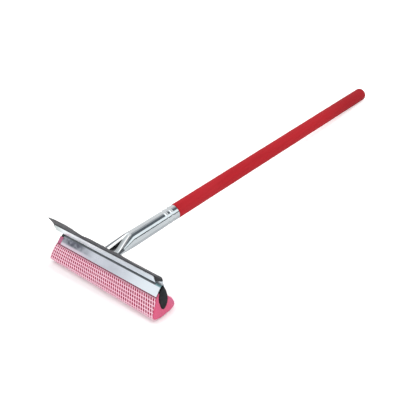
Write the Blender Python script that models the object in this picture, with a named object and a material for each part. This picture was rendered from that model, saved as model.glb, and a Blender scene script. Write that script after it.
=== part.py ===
"""Car window squeegee: a plated sheet metal head with a rubber blade and a netted sponge, on a wooden handle.

The tool is drawn in its own frame, X along the head, Y along the handle, Z square to both, with the crease of
the front jaw at Z = 0, the rail's front face at Y = 0 and the handle's axis at X = 0. It then lies down: an
empty tips it until the sponge and the far end of the handle both touch the ground plane. Sizes are in metres.
"""

import math

import bmesh
import bpy
from mathutils import Matrix, Vector

# Clearances
SEAT_GAP = 0.0003
CUT_OVERRUN = 0.002

# Shading: edges that turn by less than this look round
SMOOTH_ANGLE = math.radians(40)
LEAF_SMOOTH_ANGLE = math.radians(30)

# Blade rail
RAIL_LENGTH = 0.2032
RAIL_SHIFT = -0.0129
RAIL_GAUGE = 0.0005
RAIL_HEIGHT = 0.0087
RAIL_LIFT = 0.0013
RAIL_BEND = 0.0008
RAIL_CORNER = 0.0025

# Rubber blade
RUBBER_LENGTH = 0.2152
RUBBER_SHIFT = -0.0092
RUBBER_ROOT = 0.0018
RUBBER_LIP = 0.0010
RUBBER_REACH = 0.0125
RUBBER_HOLD = 0.0057
RUBBER_MOST_LEAN = math.radians(46)
RUBBER_SET_POWER = 4
RUBBER_RUNS = 48
RUBBER_LIFTS = 8
# Share of the length from the left end, then share of the most lean: the rubber's soft waves.
RUBBER_LEAN_SHARES = (
    (0.00, 0.56),
    (0.07, 0.45),
    (0.18, 0.44),
    (0.24, 0.51),
    (0.29, 0.64),
    (0.35, 0.76),
    (0.445, 0.65),
    (0.55, 0.73),
    (0.72, 0.72),
    (0.81, 0.91),
    (0.90, 0.98),
    (1.00, 1.00),
)

# Jaw plates
JAW_LENGTH = 0.1920
JAW_SHIFT = 0.0012
JAW_GAUGE = 0.0005
JAW_BEND = 0.0007
JAW_TOP = 0.0080
SKIRT_WIDTH = 0.01175
SKIRT_SLOPE = math.radians(39.6)
BACK_JAW_LENGTH = 0.1866
BACK_SKIRT_DEPTH = 0.0085
BACK_JOGGLE = 0.0016
TONGUE_WIDTH = 0.0540
TONGUE_RISE = 0.0016
TONGUE_SIDE = 0.0020

# Core strip
CORE_LENGTH = 0.2024
CORE_SHIFT = -0.0020
CORE_DEPTH = 0.0259
CORE_THICKNESS = 0.0106
CORE_SKEW_SHARE = 0.25
CORE_DROP = 0.0009
CORE_LEAN_SHARE = 0.345
CORE_SEAT_SHARE = 0.58
CORE_STEPS = 12

# Sponge
SPONGE_LENGTH = 0.2008
SPONGE_SHIFT = -0.0022
SPONGE_SLANT = 0.0135
SPONGE_SLANT_DROP = 0.0075
SPONGE_SLANT_POWER = 0.7
SPONGE_WIDTH = 0.0312
SPONGE_DEPTH = 0.0344
SPONGE_FORWARD = 0.0051
SPONGE_THINNEST = 0.0008
SPONGE_BACK_WALL = 0.0022
FLAT_DEPTH = 0.0005
# Outline of the netted sponge below the jaws: share of the half width, then share of the depth.
FRONT_FLANK_SHARES = (
    (-0.340, 0.308),
    (-0.718, 0.570),
    (-0.949, 0.756),
    (-0.994, 0.831),
    (-0.910, 0.901),
)
BOTTOM_SHARES = (
    (-0.673, 0.956),
    (-0.212, 0.997),
    (0.256, 0.994),
    (0.686, 0.953),
)
BACK_FLANK_SHARES = (
    (0.985, 0.878),
    (1.055, 0.785),
    (1.010, 0.680),
    (0.870, 0.535),
)

# Net
NET_THICKNESS = 0.0006
NET_HEM = 0.0016
NET_INSET = 0.0008
NET_GRIP = 0.0092
NET_DRAG = 0.0050
NET_COLUMNS = 23
NET_FRONT_ROWS = 6
NET_BACK_ROWS = 5
HOLE_WIDTH_SHARE = 0.54
HOLE_LENGTH_SHARE = 0.78
HOLE_TIP_SHARE = 0.50
PATH_STEPS = 16

# Handle
HANDLE_DIAMETER = 0.0190
HANDLE_LENGTH = 0.4570
HANDLE_SETBACK = 0.0020
HANDLE_END_ROUND = 0.0050
HANDLE_CHAMFER = 0.0012
TENON_STEP = 0.0009
HANDLE_AXIS_Z = 0.0050
ROUND_STEPS = 6
HANDLE_SIDES = 40

# Ferrule
FERRULE_RIM_Y = 0.1053
FERRULE_GAUGE = 0.0005
FERRULE_SWELL = 0.0006
FERRULE_FLARE_Y = 0.0360
FERRULE_SLIT_SHARE = 0.65
FERRULE_SLIT_WIDTH = 0.0096
FERRULE_BILL_THICKNESS = 0.0027
FERRULE_BEND = 0.0010
FERRULE_EAR_TOP = 0.0097
FERRULE_EAR_WIDTH = 0.0500
FERRULE_QUARTER_SIDES = 9
FERRULE_FLARE_STEPS = 4
FERRULE_SLIT_STEPS = 7
CRIMP_DEPTH = 0.0005
CRIMP_WIDTH = 0.0044
CRIMP_SETBACK = 0.0088
CRIMP_PITCH = 0.0077
CRIMP_STEPS = 4

# Rivets
RIVET_RADIUS = 0.0014
RIVET_SPACING = 0.0180
RIVET_DROP = 0.0027
RIVET_HEAD_RADIUS = 0.0021
RIVET_HEAD_THICKNESS = 0.0013
RIVET_TAIL_THICKNESS = 0.0006
RIVET_SIDES = 20

# Places that follow from the sizes above, in the tool's own frame
RUBBER_FRONT_Y = RAIL_GAUGE + SEAT_GAP
RAIL_BACK_Y = RUBBER_FRONT_Y + RUBBER_ROOT + SEAT_GAP
FRONT_JAW_Y = RAIL_BACK_Y + RAIL_GAUGE + SEAT_GAP
BACK_JAW_Y = FRONT_JAW_Y + JAW_GAUGE + SEAT_GAP
EAR_Y = BACK_JAW_Y + JAW_GAUGE + SEAT_GAP
RAIL_TOP_Z = RAIL_LIFT + RAIL_HEIGHT
WEB_END_Z = RAIL_LIFT - SEAT_GAP
CORE_TIP = Vector((CORE_SEAT_SHARE * BACK_JAW_Y, -CORE_DROP))
CORE_LEAN = CORE_LEAN_SHARE * (math.pi / 2 - SKIRT_SLOPE)
CORE_DOWN = Vector((-math.sin(CORE_LEAN), -math.cos(CORE_LEAN)))
CORE_BACK = Vector((math.cos(CORE_LEAN), -math.sin(CORE_LEAN)))
SKIRT_ALONG = Vector((-math.cos(SKIRT_SLOPE), -math.sin(SKIRT_SLOPE)))
SKIRT_INWARD = Vector((math.sin(SKIRT_SLOPE), -math.cos(SKIRT_SLOPE)))
HANDLE_RADIUS = HANDLE_DIAMETER / 2
TENON_RADIUS = HANDLE_RADIUS - TENON_STEP
HANDLE_START_Y = FERRULE_FLARE_Y + HANDLE_SETBACK
HANDLE_END_Y = HANDLE_START_Y + HANDLE_LENGTH
FERRULE_RIM_RADIUS = TENON_RADIUS + SEAT_GAP + FERRULE_GAUGE
FERRULE_HEAD_RADIUS = FERRULE_RIM_RADIUS + FERRULE_SWELL
CRIMPS = (FERRULE_RIM_Y - CRIMP_SETBACK, FERRULE_RIM_Y - CRIMP_SETBACK - CRIMP_PITCH)


def clear_scene():
    for obj in list(bpy.data.objects):
        bpy.data.objects.remove(obj)


def make_material(name, colour, roughness, metallic=0.0):
    material = bpy.data.materials.new(name)
    material.use_nodes = True
    shader = material.node_tree.nodes["Principled BSDF"]
    shader.inputs["Base Color"].default_value = (*colour, 1.0)
    shader.inputs["Roughness"].default_value = roughness
    shader.inputs["Metallic"].default_value = metallic
    return material


def add_object(name, bm, material, frame, smooth_angle=None):
    """Turns the bmesh into one object of the tool, hung on the frame that tips it."""
    bmesh.ops.recalc_face_normals(bm, faces=bm.faces)
    mesh = bpy.data.meshes.new(name)
    bm.to_mesh(mesh)
    bm.free()
    if smooth_angle is not None:
        mesh.shade_smooth()
        mesh.set_sharp_from_angle(angle=smooth_angle)
    mesh.materials.append(material)
    obj = bpy.data.objects.new(name, mesh)
    bpy.context.scene.collection.objects.link(obj)
    obj.parent = frame
    return obj


# Outlines in the Y and Z plane


def right_of(direction):
    """The direction turned a quarter to its right, seen with Y to the right and Z up."""
    return Vector((direction[1], -direction[0]))


def offset_path(points, distance):
    """The open path moved to its right, so that each of its sides stays parallel to itself."""
    moved = []
    last = len(points) - 1
    for i, point in enumerate(points):
        before = (points[max(i, 1)] - points[max(i, 1) - 1]).normalized()
        after = (points[min(i, last - 1) + 1] - points[min(i, last - 1)]).normalized()
        sideways = right_of(before) + right_of(after)
        sideways *= 2 * distance / sideways.length_squared
        moved.append(point + sideways)
    return moved


def round_corners(corners, radius, steps):
    """The path through these corners, with each inner corner turned into an arc."""
    path = [corners[0]]
    for before, corner, after in zip(corners, corners[1:], corners[2:]):
        into = (corner - before).normalized()
        out = (after - corner).normalized()
        turn = into.angle(out)
        setback = radius * math.tan(turn / 2)
        middle_way = (out - into).normalized()
        centre = corner + middle_way * (radius / math.cos(turn / 2))
        start = corner - into * setback - centre
        end = corner + out * setback - centre
        for i in range(steps + 1):
            share = i / steps
            arc = start * math.sin((1 - share) * turn) + end * math.sin(share * turn)
            path.append(centre + arc / math.sin(turn))
    path.append(corners[-1])
    return path


def sheet_outline(corners, gauge, bend):
    """A bent sheet seen on edge: corners run along its left face, and bend is the radius of its middle."""
    middle = round_corners(offset_path(corners, gauge / 2), bend, ROUND_STEPS // 2)
    return offset_path(middle, -gauge / 2), offset_path(middle, gauge / 2)


def sheet_outline_outward(corners, gauge, bend):
    """The inner and outer faces of a bent sheet whose corners run along its outer face, on the right."""
    middle = round_corners(offset_path(corners, -gauge / 2), bend, ROUND_STEPS // 2)
    return offset_path(middle, -gauge / 2), offset_path(middle, gauge / 2)


def smooth_curve(points, steps):
    """A soft curve through all of the points, with this many steps from each to the next."""
    ends = [2 * points[0] - points[1], *points, 2 * points[-1] - points[-2]]
    curve = []
    for a, b, c, d in zip(ends, ends[1:], ends[2:], ends[3:]):
        for i in range(steps):
            t = i / steps
            curve.append(
                b
                + (c - a) * (t / 2)
                + (a * 2 - b * 5 + c * 4 - d) * (t * t / 2)
                + (b * 3 - a - c * 3 + d) * (t * t * t / 2)
            )
    curve.append(points[-1])
    return curve


def lengths_along(path):
    lengths = [0.0]
    for before, after in zip(path, path[1:]):
        lengths.append(lengths[-1] + (after - before).length)
    return lengths


def point_along(path, lengths, distance):
    for i in range(1, len(path)):
        if distance <= lengths[i]:
            share = (distance - lengths[i - 1]) / (lengths[i] - lengths[i - 1])
            return path[i - 1].lerp(path[i], share)
    return path[-1].copy()


def gap_to_outline(point, outline):
    """The distance from the point to the nearest side of the closed outline."""
    nearest = math.inf
    for before, after in zip(outline, outline[1:] + outline[:1]):
        side = after - before
        share = max(0.0, min(1.0, (point - before).dot(side) / side.length_squared))
        nearest = min(nearest, (point - before - side * share).length)
    return nearest


def loft_sections(sections):
    """One closed solid through sections with as many points each: lists of (x, y, z)."""
    bm = bmesh.new()
    rings = [[bm.verts.new(point) for point in section] for section in sections]
    for near, far in zip(rings, rings[1:]):
        for i in range(len(near)):
            j = (i + 1) % len(near)
            bm.faces.new((near[i], near[j], far[j], far[i]))
    bm.faces.new(rings[0])
    bm.faces.new(rings[-1])
    return bm


def extrude_outline(outline, start_x, end_x):
    """A straight bar whose section is the closed outline."""
    return loft_sections([[(x, *point) for point in outline] for x in (start_x, end_x)])


def turn_profile(profile, sides):
    """A solid turned about the Y axis from (y, radius) points, closed on the axis at both ends."""
    bm = bmesh.new()
    verts = [bm.verts.new((radius, y, 0)) for y, radius in profile]
    edges = [bm.edges.new(pair) for pair in zip(verts, verts[1:])]
    bmesh.ops.spin(
        bm,
        geom=verts + edges,
        cent=(0, 0, 0),
        axis=(0, 1, 0),
        angle=2 * math.pi,
        steps=sides,
        use_merge=True,
    )
    merge = SEAT_GAP / sides
    bmesh.ops.remove_doubles(bm, verts=bm.verts, dist=merge)
    return bm


# Shapes that several pieces share


def core_half_outline(side):
    """One side of the leaf, from its upper tip to its lower tip: side is -1 in front and 1 behind."""
    points = []
    for i in range(CORE_STEPS + 1):
        share = i / CORE_STEPS
        fullness = 4 * share * (1 - share) * (1 - side * CORE_SKEW_SHARE * (1 - 2 * share))
        bulge = side * CORE_THICKNESS / 2 * fullness
        points.append(CORE_TIP + CORE_DOWN * (share * CORE_DEPTH) + CORE_BACK * bulge)
    return points


CORE_FRONT = core_half_outline(-1)
CORE_REAR = core_half_outline(1)
CORE_OUTLINE = CORE_FRONT + CORE_REAR[-2:0:-1]
BACK_SKIRT_Y = max(point[0] for point in CORE_REAR) + NET_THICKNESS + 2 * SEAT_GAP
TAB_Y = BACK_SKIRT_Y + JAW_GAUGE + SEAT_GAP
RIVET_Z = -RIVET_DROP


def skirt_point(distance, depth):
    """A point this far down the front skirt from the crease, and this far below its upper face."""
    return SKIRT_ALONG * distance + SKIRT_INWARD * depth


def net_guide():
    """The net's outer face, from its front edge under the front skirt round to its rear edge."""
    depth = JAW_GAUGE + SEAT_GAP
    room = NET_THICKNESS + SEAT_GAP
    start = SKIRT_WIDTH - NET_GRIP
    while gap_to_outline(skirt_point(start, depth), CORE_OUTLINE) < room:
        start += SEAT_GAP
    front_grip = [skirt_point(start, depth), skirt_point(SKIRT_WIDTH, depth)]

    def placed(shares):
        across, down = shares
        return Vector((across * SPONGE_WIDTH / 2 - SPONGE_FORWARD, -down * SPONGE_DEPTH))

    middle = CORE_REAR[CORE_STEPS // 2] + CORE_BACK * SPONGE_BACK_WALL
    rear_low = Vector((BACK_SKIRT_Y - SEAT_GAP, -BACK_SKIRT_DEPTH))
    top_z = RIVET_Z - RIVET_HEAD_RADIUS - SEAT_GAP
    rear_top = Vector((rear_low[0], max(top_z - SEAT_GAP, rear_low[1] + NET_THICKNESS)))
    shares = FRONT_FLANK_SHARES + BOTTOM_SHARES + BACK_FLANK_SHARES
    belly = [front_grip[1], *(placed(pair) for pair in shares), middle, rear_low]
    return front_grip[0], smooth_curve(belly, PATH_STEPS), rear_top


def rest_line(path):
    """The slope of the ground in the tool's frame, and the ground's height along its own normal."""
    round_centre = Vector((HANDLE_END_Y - HANDLE_END_ROUND, HANDLE_AXIS_Z - HANDLE_RADIUS + HANDLE_END_ROUND))
    slope = 0.0
    for _ in range(PATH_STEPS):
        normal = Vector((-math.sin(slope), math.cos(slope)))
        lowest = min(path, key=normal.dot)
        level = lowest.dot(normal) + FLAT_DEPTH
        spare = round_centre.dot(normal) - HANDLE_END_ROUND - level
        slope += math.atan2(spare, round_centre[0] - lowest[0])
    normal = Vector((-math.sin(slope), math.cos(slope)))
    return slope, min(point.dot(normal) for point in path) + FLAT_DEPTH


NET_START, NET_BELLY, NET_END = net_guide()
GROUND_SLOPE, GROUND_LEVEL = rest_line(NET_BELLY)
GROUND_NORMAL = Vector((-math.sin(GROUND_SLOPE), math.cos(GROUND_SLOPE)))


def flattened(path):
    """The path with all that lies under the ground pressed flat onto it."""
    return [point + GROUND_NORMAL * max(0.0, GROUND_LEVEL - point.dot(GROUND_NORMAL)) for point in path]


def net_stations():
    """The net's outer face as points: two at each edge and three for each row of holes. Then its rest point."""
    belly = flattened(NET_BELLY)
    lengths = lengths_along(belly)
    flat = [
        length
        for point, length in zip(NET_BELLY, lengths)
        if point.dot(GROUND_NORMAL) < GROUND_LEVEL
    ]
    rest = (flat[0] + flat[-1]) / 2
    stations = [NET_START, belly[0]]
    for start, end, rows in ((0.0, rest, NET_FRONT_ROWS), (rest, lengths[-1], NET_BACK_ROWS)):
        pitch = (end - start) / rows
        half_hole = HOLE_LENGTH_SHARE * pitch / 2
        for row in range(rows):
            middle = start + (row + 0.5) * pitch
            for distance in (middle - half_hole, middle, middle + half_hole):
                stations.append(point_along(belly, lengths, distance))
    stations += [belly[-1], NET_END]
    return stations, point_along(belly, lengths, rest)


NET_OUTER, REST_POINT = net_stations()
NET_INNER = offset_path(NET_OUTER, -NET_THICKNESS)
FOAM_OUTER = offset_path(NET_OUTER, -NET_THICKNESS - SEAT_GAP)


# The pieces


def sponge_end(side, z):
    """Where the sponge ends at this height: its left end, at side -1, slants outward below the jaws."""
    share = max(0.0, -z - SPONGE_SLANT_DROP) / (SPONGE_DEPTH - SPONGE_SLANT_DROP)
    slant = SPONGE_SLANT * share**SPONGE_SLANT_POWER if side < 0 else 0.0
    return SPONGE_SHIFT + side * SPONGE_LENGTH / 2 - slant


def make_frame():
    """The empty that lays the tool down, with the middle of the sponge's flat at the origin."""
    frame = bpy.data.objects.new("tool_frame", None)
    bpy.context.scene.collection.objects.link(frame)
    turn = Matrix.Rotation(-GROUND_SLOPE, 4, "X")
    rest = turn @ Vector((0, REST_POINT[0], REST_POINT[1]))
    frame.matrix_world = Matrix.Translation(-rest) @ turn
    return frame


def make_blade_rail(frame, steel):
    """A U of sheet steel that holds the rubber, with its front lip rounded off at both ends."""
    low = RAIL_LIFT
    corners = [
        Vector((0, RAIL_TOP_Z)),
        Vector((0, low)),
        Vector((RAIL_BACK_Y + RAIL_GAUGE, low)),
        Vector((RAIL_BACK_Y + RAIL_GAUGE, RAIL_TOP_Z)),
    ]
    inner, outer = sheet_outline_outward(corners, RAIL_GAUGE, RAIL_BEND)
    start_x = RAIL_SHIFT - RAIL_LENGTH / 2
    end_x = RAIL_SHIFT + RAIL_LENGTH / 2
    sections = []
    insets = [RAIL_CORNER * (1 - math.cos(i / ROUND_STEPS * math.pi / 2)) for i in range(ROUND_STEPS + 1)]
    drops = [RAIL_CORNER * (1 - math.sin(i / ROUND_STEPS * math.pi / 2)) for i in range(ROUND_STEPS + 1)]
    places = [(start_x + inset, drop) for inset, drop in zip(insets, drops)]
    places += [(end_x - inset, drop) for inset, drop in zip(reversed(insets), reversed(drops))]
    for x, drop in places:
        outline = [point.copy() for point in outer] + [point.copy() for point in reversed(inner)]
        outline[0][1] -= drop
        outline[-1][1] -= drop
        sections.append([(x, *point) for point in outline])
    return add_object("blade_rail", loft_sections(sections), steel, frame)


def lean_at(share):
    """The rubber's lean at a share of its length, eased from one named share to the next."""
    for (low, low_lean), (high, high_lean) in zip(RUBBER_LEAN_SHARES, RUBBER_LEAN_SHARES[1:]):
        if share <= high:
            way = (share - low) / (high - low)
            way = way * way * (3 - 2 * way)
            return RUBBER_MOST_LEAN * (low_lean + (high_lean - low_lean) * way)
    return RUBBER_MOST_LEAN


def rubber_line(end_turn):
    """The middle of the rubber above the rail as (y, z, turn): it bends near the rail and ends straight."""
    y = RUBBER_FRONT_Y + RUBBER_ROOT / 2
    z = RAIL_TOP_Z
    step = RUBBER_REACH / RUBBER_LIFTS
    line = [(y, z, 0.0)]
    for lift in range(RUBBER_LIFTS):
        middle = end_turn * (1 - (1 - (lift + 0.5) / RUBBER_LIFTS) ** RUBBER_SET_POWER)
        y -= step * math.sin(middle)
        z += step * math.cos(middle)
        turn = end_turn * (1 - (1 - (lift + 1) / RUBBER_LIFTS) ** RUBBER_SET_POWER)
        line.append((y, z, turn))
    return line


def make_rubber_blade(frame, rubber):
    """The wiping blade: upright in the rail, then bent forward by a lean that waves with the length."""
    sections = []
    root_z = RAIL_TOP_Z - RUBBER_HOLD
    for run in range(RUBBER_RUNS + 1):
        share = run / RUBBER_RUNS
        x = RUBBER_SHIFT + (share - 0.5) * RUBBER_LENGTH
        front = [(x, RUBBER_FRONT_Y, root_z)]
        rear = [(x, RUBBER_FRONT_Y + RUBBER_ROOT, root_z)]
        for lift, (y, z, turn) in enumerate(rubber_line(lean_at(share))):
            half = (RUBBER_ROOT + (RUBBER_LIP - RUBBER_ROOT) * lift / RUBBER_LIFTS) / 2
            front.append((x, y - half * math.cos(turn), z - half * math.sin(turn)))
            rear.append((x, y + half * math.cos(turn), z + half * math.sin(turn)))
        sections.append(front + rear[::-1])
    return add_object("rubber_blade", loft_sections(sections), rubber, frame, SMOOTH_ANGLE)


def rivet_places():
    return [("rivet_left", -RIVET_SPACING / 2), ("rivet_right", RIVET_SPACING / 2)]


def cut_rivet_holes(obj, frame):
    """Bores the two rivet holes through a sheet piece."""
    for name, x in rivet_places():
        reach = RIVET_HEAD_THICKNESS + CUT_OVERRUN
        profile = [
            (BACK_SKIRT_Y - reach, 0),
            (BACK_SKIRT_Y - reach, RIVET_RADIUS + SEAT_GAP),
            (TAB_Y + FERRULE_GAUGE + reach, RIVET_RADIUS + SEAT_GAP),
            (TAB_Y + FERRULE_GAUGE + reach, 0),
        ]
        bm = turn_profile(profile, RIVET_SIDES)
        bmesh.ops.translate(bm, verts=bm.verts, vec=(x, 0, RIVET_Z))
        cutter = add_object(f"{obj.name}_{name}_hole", bm, obj.data.materials[0], frame)
        cutter.hide_render = True
        cutter.display_type = "WIRE"
        cut = obj.modifiers.new(f"{name}_hole", "BOOLEAN")
        cut.operation = "DIFFERENCE"
        cut.object = cutter


def make_front_jaw_plate(frame, steel):
    """The sloping roof in front, creased under the rail and turned up behind it."""
    corners = [
        skirt_point(SKIRT_WIDTH, 0),
        Vector((0, 0)),
        Vector((FRONT_JAW_Y, WEB_END_Z)),
        Vector((FRONT_JAW_Y, JAW_TOP)),
    ]
    upper, lower = sheet_outline(corners, JAW_GAUGE, JAW_BEND)
    start_x = JAW_SHIFT - JAW_LENGTH / 2
    bm = extrude_outline(upper + lower[::-1], start_x, start_x + JAW_LENGTH)
    return add_object("front_jaw_plate", bm, steel, frame)


def make_back_jaw_plate(frame, steel):
    """The plate behind: upright at the rail, stepped back for the core, with a tongue for the ferrule."""
    corners = [
        Vector((BACK_SKIRT_Y, -BACK_SKIRT_DEPTH)),
        Vector((BACK_SKIRT_Y, 0)),
        Vector((BACK_JAW_Y, BACK_JOGGLE)),
        Vector((BACK_JAW_Y, JAW_TOP)),
    ]
    front, rear = sheet_outline(corners, JAW_GAUGE, JAW_BEND)
    half = TONGUE_WIDTH / 2
    start_x = JAW_SHIFT - BACK_JAW_LENGTH / 2
    end_x = JAW_SHIFT + BACK_JAW_LENGTH / 2
    places = [
        (start_x, 0.0),
        (-half - TONGUE_SIDE, 0.0),
        (-half, TONGUE_RISE),
        (half, TONGUE_RISE),
        (half + TONGUE_SIDE, 0.0),
        (end_x, 0.0),
    ]
    sections = []
    for x, rise in places:
        outline = [point.copy() for point in front] + [point.copy() for point in reversed(rear)]
        outline[len(front) - 1][1] += rise
        outline[len(front)][1] += rise
        sections.append([(x, *point) for point in outline])
    obj = add_object("back_jaw_plate", loft_sections(sections), steel, frame)
    cut_rivet_holes(obj, frame)
    return obj


def make_core_strip(frame, black):
    """The leaf shaped strip that the sponge hangs on."""
    start_x = CORE_SHIFT - CORE_LENGTH / 2
    bm = extrude_outline(CORE_OUTLINE, start_x, start_x + CORE_LENGTH)
    return add_object("core_strip", bm, black, frame, LEAF_SMOOTH_ANGLE)


def make_wiping_sponge(frame, foam):
    """The foam: outside it follows the net, inside it follows the core."""
    least = SEAT_GAP + SPONGE_THINNEST
    outer = [point for point in FOAM_OUTER[1:-1] if gap_to_outline(point, CORE_OUTLINE) > least]
    around = offset_path(CORE_FRONT[1:] + CORE_REAR[-2:0:-1], SEAT_GAP)
    front_depth = (outer[0] - CORE_TIP).dot(CORE_DOWN)
    rear_depth = (outer[-1] - CORE_TIP).dot(CORE_DOWN)
    inner = []
    for point in around:
        offset = point - CORE_TIP
        limit = rear_depth if offset.dot(CORE_BACK) > 0 else front_depth
        if offset.dot(CORE_DOWN) > limit:
            inner.append(point)
    outline = outer + inner[::-1]
    sections = [[(sponge_end(side, z), y, z) for y, z in outline] for side in (-1, 1)]
    return add_object("wiping_sponge", loft_sections(sections), foam, frame)


def net_places(station):
    """The X of the net's points at a station: its left edge, both sides of each hole and its right edge."""
    z = NET_OUTER[station][1]
    left_x = sponge_end(-1, z) + NET_INSET
    right_x = sponge_end(1, z) - NET_INSET
    pitch = (right_x - left_x - NET_HEM) / NET_COLUMNS
    half_hole = HOLE_WIDTH_SHARE * pitch / 2
    if station % 3 != 0:
        half_hole *= HOLE_TIP_SHARE
    drag = NET_DRAG * math.sin(math.pi * station / (len(NET_OUTER) - 1))
    places = [left_x]
    for column in range(NET_COLUMNS):
        share = (column + 0.5) / NET_COLUMNS
        middle = left_x + NET_HEM / 2 + share * NET_COLUMNS * pitch + drag * math.sin(math.pi * share)
        places += [middle - half_hole, middle + half_hole]
    return [*places, right_x]


def make_sponge_net(frame, thread):
    """The net: straight rows of long holes, dragged a little to the right, bent round the foam as one skin."""
    bm = bmesh.new()
    layers = [], []
    for station, points in enumerate(zip(NET_OUTER, NET_INNER)):
        for layer, point in zip(layers, points):
            layer.append([bm.verts.new((x, *point)) for x in net_places(station)])
    faces = []
    for station in range(len(NET_OUTER) - 1):
        between_rows = station % 3 == 1 or station in (0, len(NET_OUTER) - 2)
        for i in range(2 * NET_COLUMNS + 1):
            if between_rows or i % 2 == 0:
                faces.append(((station, i), (station, i + 1), (station + 1, i + 1), (station + 1, i)))
    directed = set()
    for face in faces:
        directed.update(zip(face, [*face[1:], face[0]]))
        bm.faces.new([layers[0][row][i] for row, i in face])
        bm.faces.new([layers[1][row][i] for row, i in reversed(face)])
    for start, end in directed:
        if (end, start) not in directed:
            wall = [layers[0][end[0]][end[1]], layers[0][start[0]][start[1]]]
            wall += [layers[1][start[0]][start[1]], layers[1][end[0]][end[1]]]
            bm.faces.new(wall)
    return add_object("sponge_net", bm, thread, frame)


def crimp_depth_at(y):
    """How far the crimped rings are pressed in at this place on the handle's axis."""
    depth = 0.0
    for ring in CRIMPS:
        way = abs(y - ring) / (CRIMP_WIDTH / 2)
        if way < 1:
            depth += CRIMP_DEPTH * (1 + math.cos(math.pi * way)) / 2
    return depth


def crimp_stations():
    """The places along the axis where a ring's profile needs a point, from the rim inward."""
    places = []
    for ring in CRIMPS:
        for i in range(2 * CRIMP_STEPS + 1):
            places.append(ring + CRIMP_WIDTH / 2 - i * CRIMP_WIDTH / (2 * CRIMP_STEPS))
    return places


def make_wooden_handle(frame, paint):
    """The painted rod: turned down where it fills the ferrule, pinched by the rings, rounded at its far end."""
    shoulder = FERRULE_RIM_Y + SEAT_GAP
    profile = [
        (HANDLE_START_Y, 0),
        (HANDLE_START_Y, TENON_RADIUS - HANDLE_CHAMFER),
        (HANDLE_START_Y + HANDLE_CHAMFER, TENON_RADIUS),
    ]
    for y in sorted(crimp_stations()):
        profile.append((y, TENON_RADIUS - crimp_depth_at(y)))
    profile.append((shoulder, TENON_RADIUS))
    profile.append((shoulder, HANDLE_RADIUS - TENON_STEP / 2))
    profile.append((shoulder + TENON_STEP / 2, HANDLE_RADIUS))
    for i in range(ROUND_STEPS + 1):
        turn = i / ROUND_STEPS * math.pi / 2
        y = HANDLE_END_Y - HANDLE_END_ROUND * (1 - math.sin(turn))
        profile.append((y, HANDLE_RADIUS - HANDLE_END_ROUND * (1 - math.cos(turn))))
    profile.append((HANDLE_END_Y, 0))
    bm = turn_profile(profile, HANDLE_SIDES)
    bmesh.ops.translate(bm, verts=bm.verts, vec=(0, 0, HANDLE_AXIS_Z))
    return add_object("wooden_handle", bm, paint, frame, SMOOTH_ANGLE)


def tube_radius(y):
    """The ferrule's outer radius where it is round: it swells a little from the rim to the head."""
    swell = FERRULE_SWELL * (FERRULE_RIM_Y - y) / (FERRULE_RIM_Y - FERRULE_FLARE_Y)
    return FERRULE_RIM_RADIUS + swell - crimp_depth_at(y)


def ferrule_rows(bill_end):
    """The rings of the ferrule from its rim to its bill: (y, flat half width, half height, slit half width)."""
    rows = [(y, 0.0, tube_radius(y), 0.0) for y in [FERRULE_RIM_Y, *crimp_stations()]]
    flare = FERRULE_FLARE_Y - bill_end
    slit = flare * FERRULE_SLIT_SHARE
    places = [(flare - (flare - slit) * i / FERRULE_FLARE_STEPS, 0.0) for i in range(FERRULE_FLARE_STEPS)]
    for i in range(FERRULE_SLIT_STEPS + 1):
        share = i / FERRULE_SLIT_STEPS
        places.append((slit * (1 - share), FERRULE_SLIT_WIDTH / 2 * share))
    for rise, opening in places:
        pressed = (FERRULE_HEAD_RADIUS - FERRULE_BILL_THICKNESS / 2) * (1 - rise / flare)
        rows.append((bill_end + rise, math.pi / 2 * pressed, FERRULE_HEAD_RADIUS - pressed, opening))
    return rows


def tube_point(flat, half_height, share, opening):
    """A point of the ferrule's section as (x, z): share runs from the top middle, 0, to the bottom, 1.

    The section is two half circles joined by flats, so that its girth stays the same as it is pressed flat.
    """
    quarter = flat + math.pi / 2 * half_height
    upper = share <= 0.5
    way = 2 * min(share, 1 - share)
    along = opening + (quarter - opening) * way if upper else quarter * way
    turn = max(0.0, along - flat) / half_height
    x = min(along, flat) + half_height * math.sin(turn)
    z = half_height * math.cos(turn)
    return x, HANDLE_AXIS_Z + (z if upper else -z)


def make_handle_ferrule(frame, steel):
    """The plated socket: a crimped tube, pressed flat at the head, slit on top and turned out on the jaw."""
    sides = 2 * FERRULE_QUARTER_SIDES
    tab_face = TAB_Y + FERRULE_GAUGE
    bm = bmesh.new()
    rings = []
    for y, flat, half_height, opening in ferrule_rows(tab_face + FERRULE_BEND):
        ring = {}
        for i in range(sides + 1):
            x, z = tube_point(flat, half_height, i / sides, opening)
            ring[1, i] = bm.verts.new((x, y, z))
            merged = i == sides or (i == 0 and opening == 0)
            ring[-1, i] = ring[1, i] if merged else bm.verts.new((-x, y, z))
        rings.append(ring)
    for near, far in zip(rings, rings[1:]):
        for side in (-1, 1):
            for i in range(sides):
                bm.faces.new((near[side, i], near[side, i + 1], far[side, i + 1], far[side, i]))
    add_ears(bm, rings[-1], EAR_Y + FERRULE_GAUGE, sides)
    add_tab(bm, rings[-1], tab_face, sides)
    obj = add_object("handle_ferrule", bm, steel, frame, SMOOTH_ANGLE)
    thicken = obj.modifiers.new("sheet", "SOLIDIFY")
    thicken.thickness = FERRULE_GAUGE
    thicken.offset = -1
    thicken.use_even_offset = True
    cut_rivet_holes(obj, frame)
    return obj


def flat_columns(ring, indices):
    """Those of the ring's points that lie on the flat of the bill, from the middle outward."""
    flat = math.pi / 2 * (FERRULE_HEAD_RADIUS - FERRULE_BILL_THICKNESS / 2)
    return [i for i in indices if ring[1, i].co.x <= flat]


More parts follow.
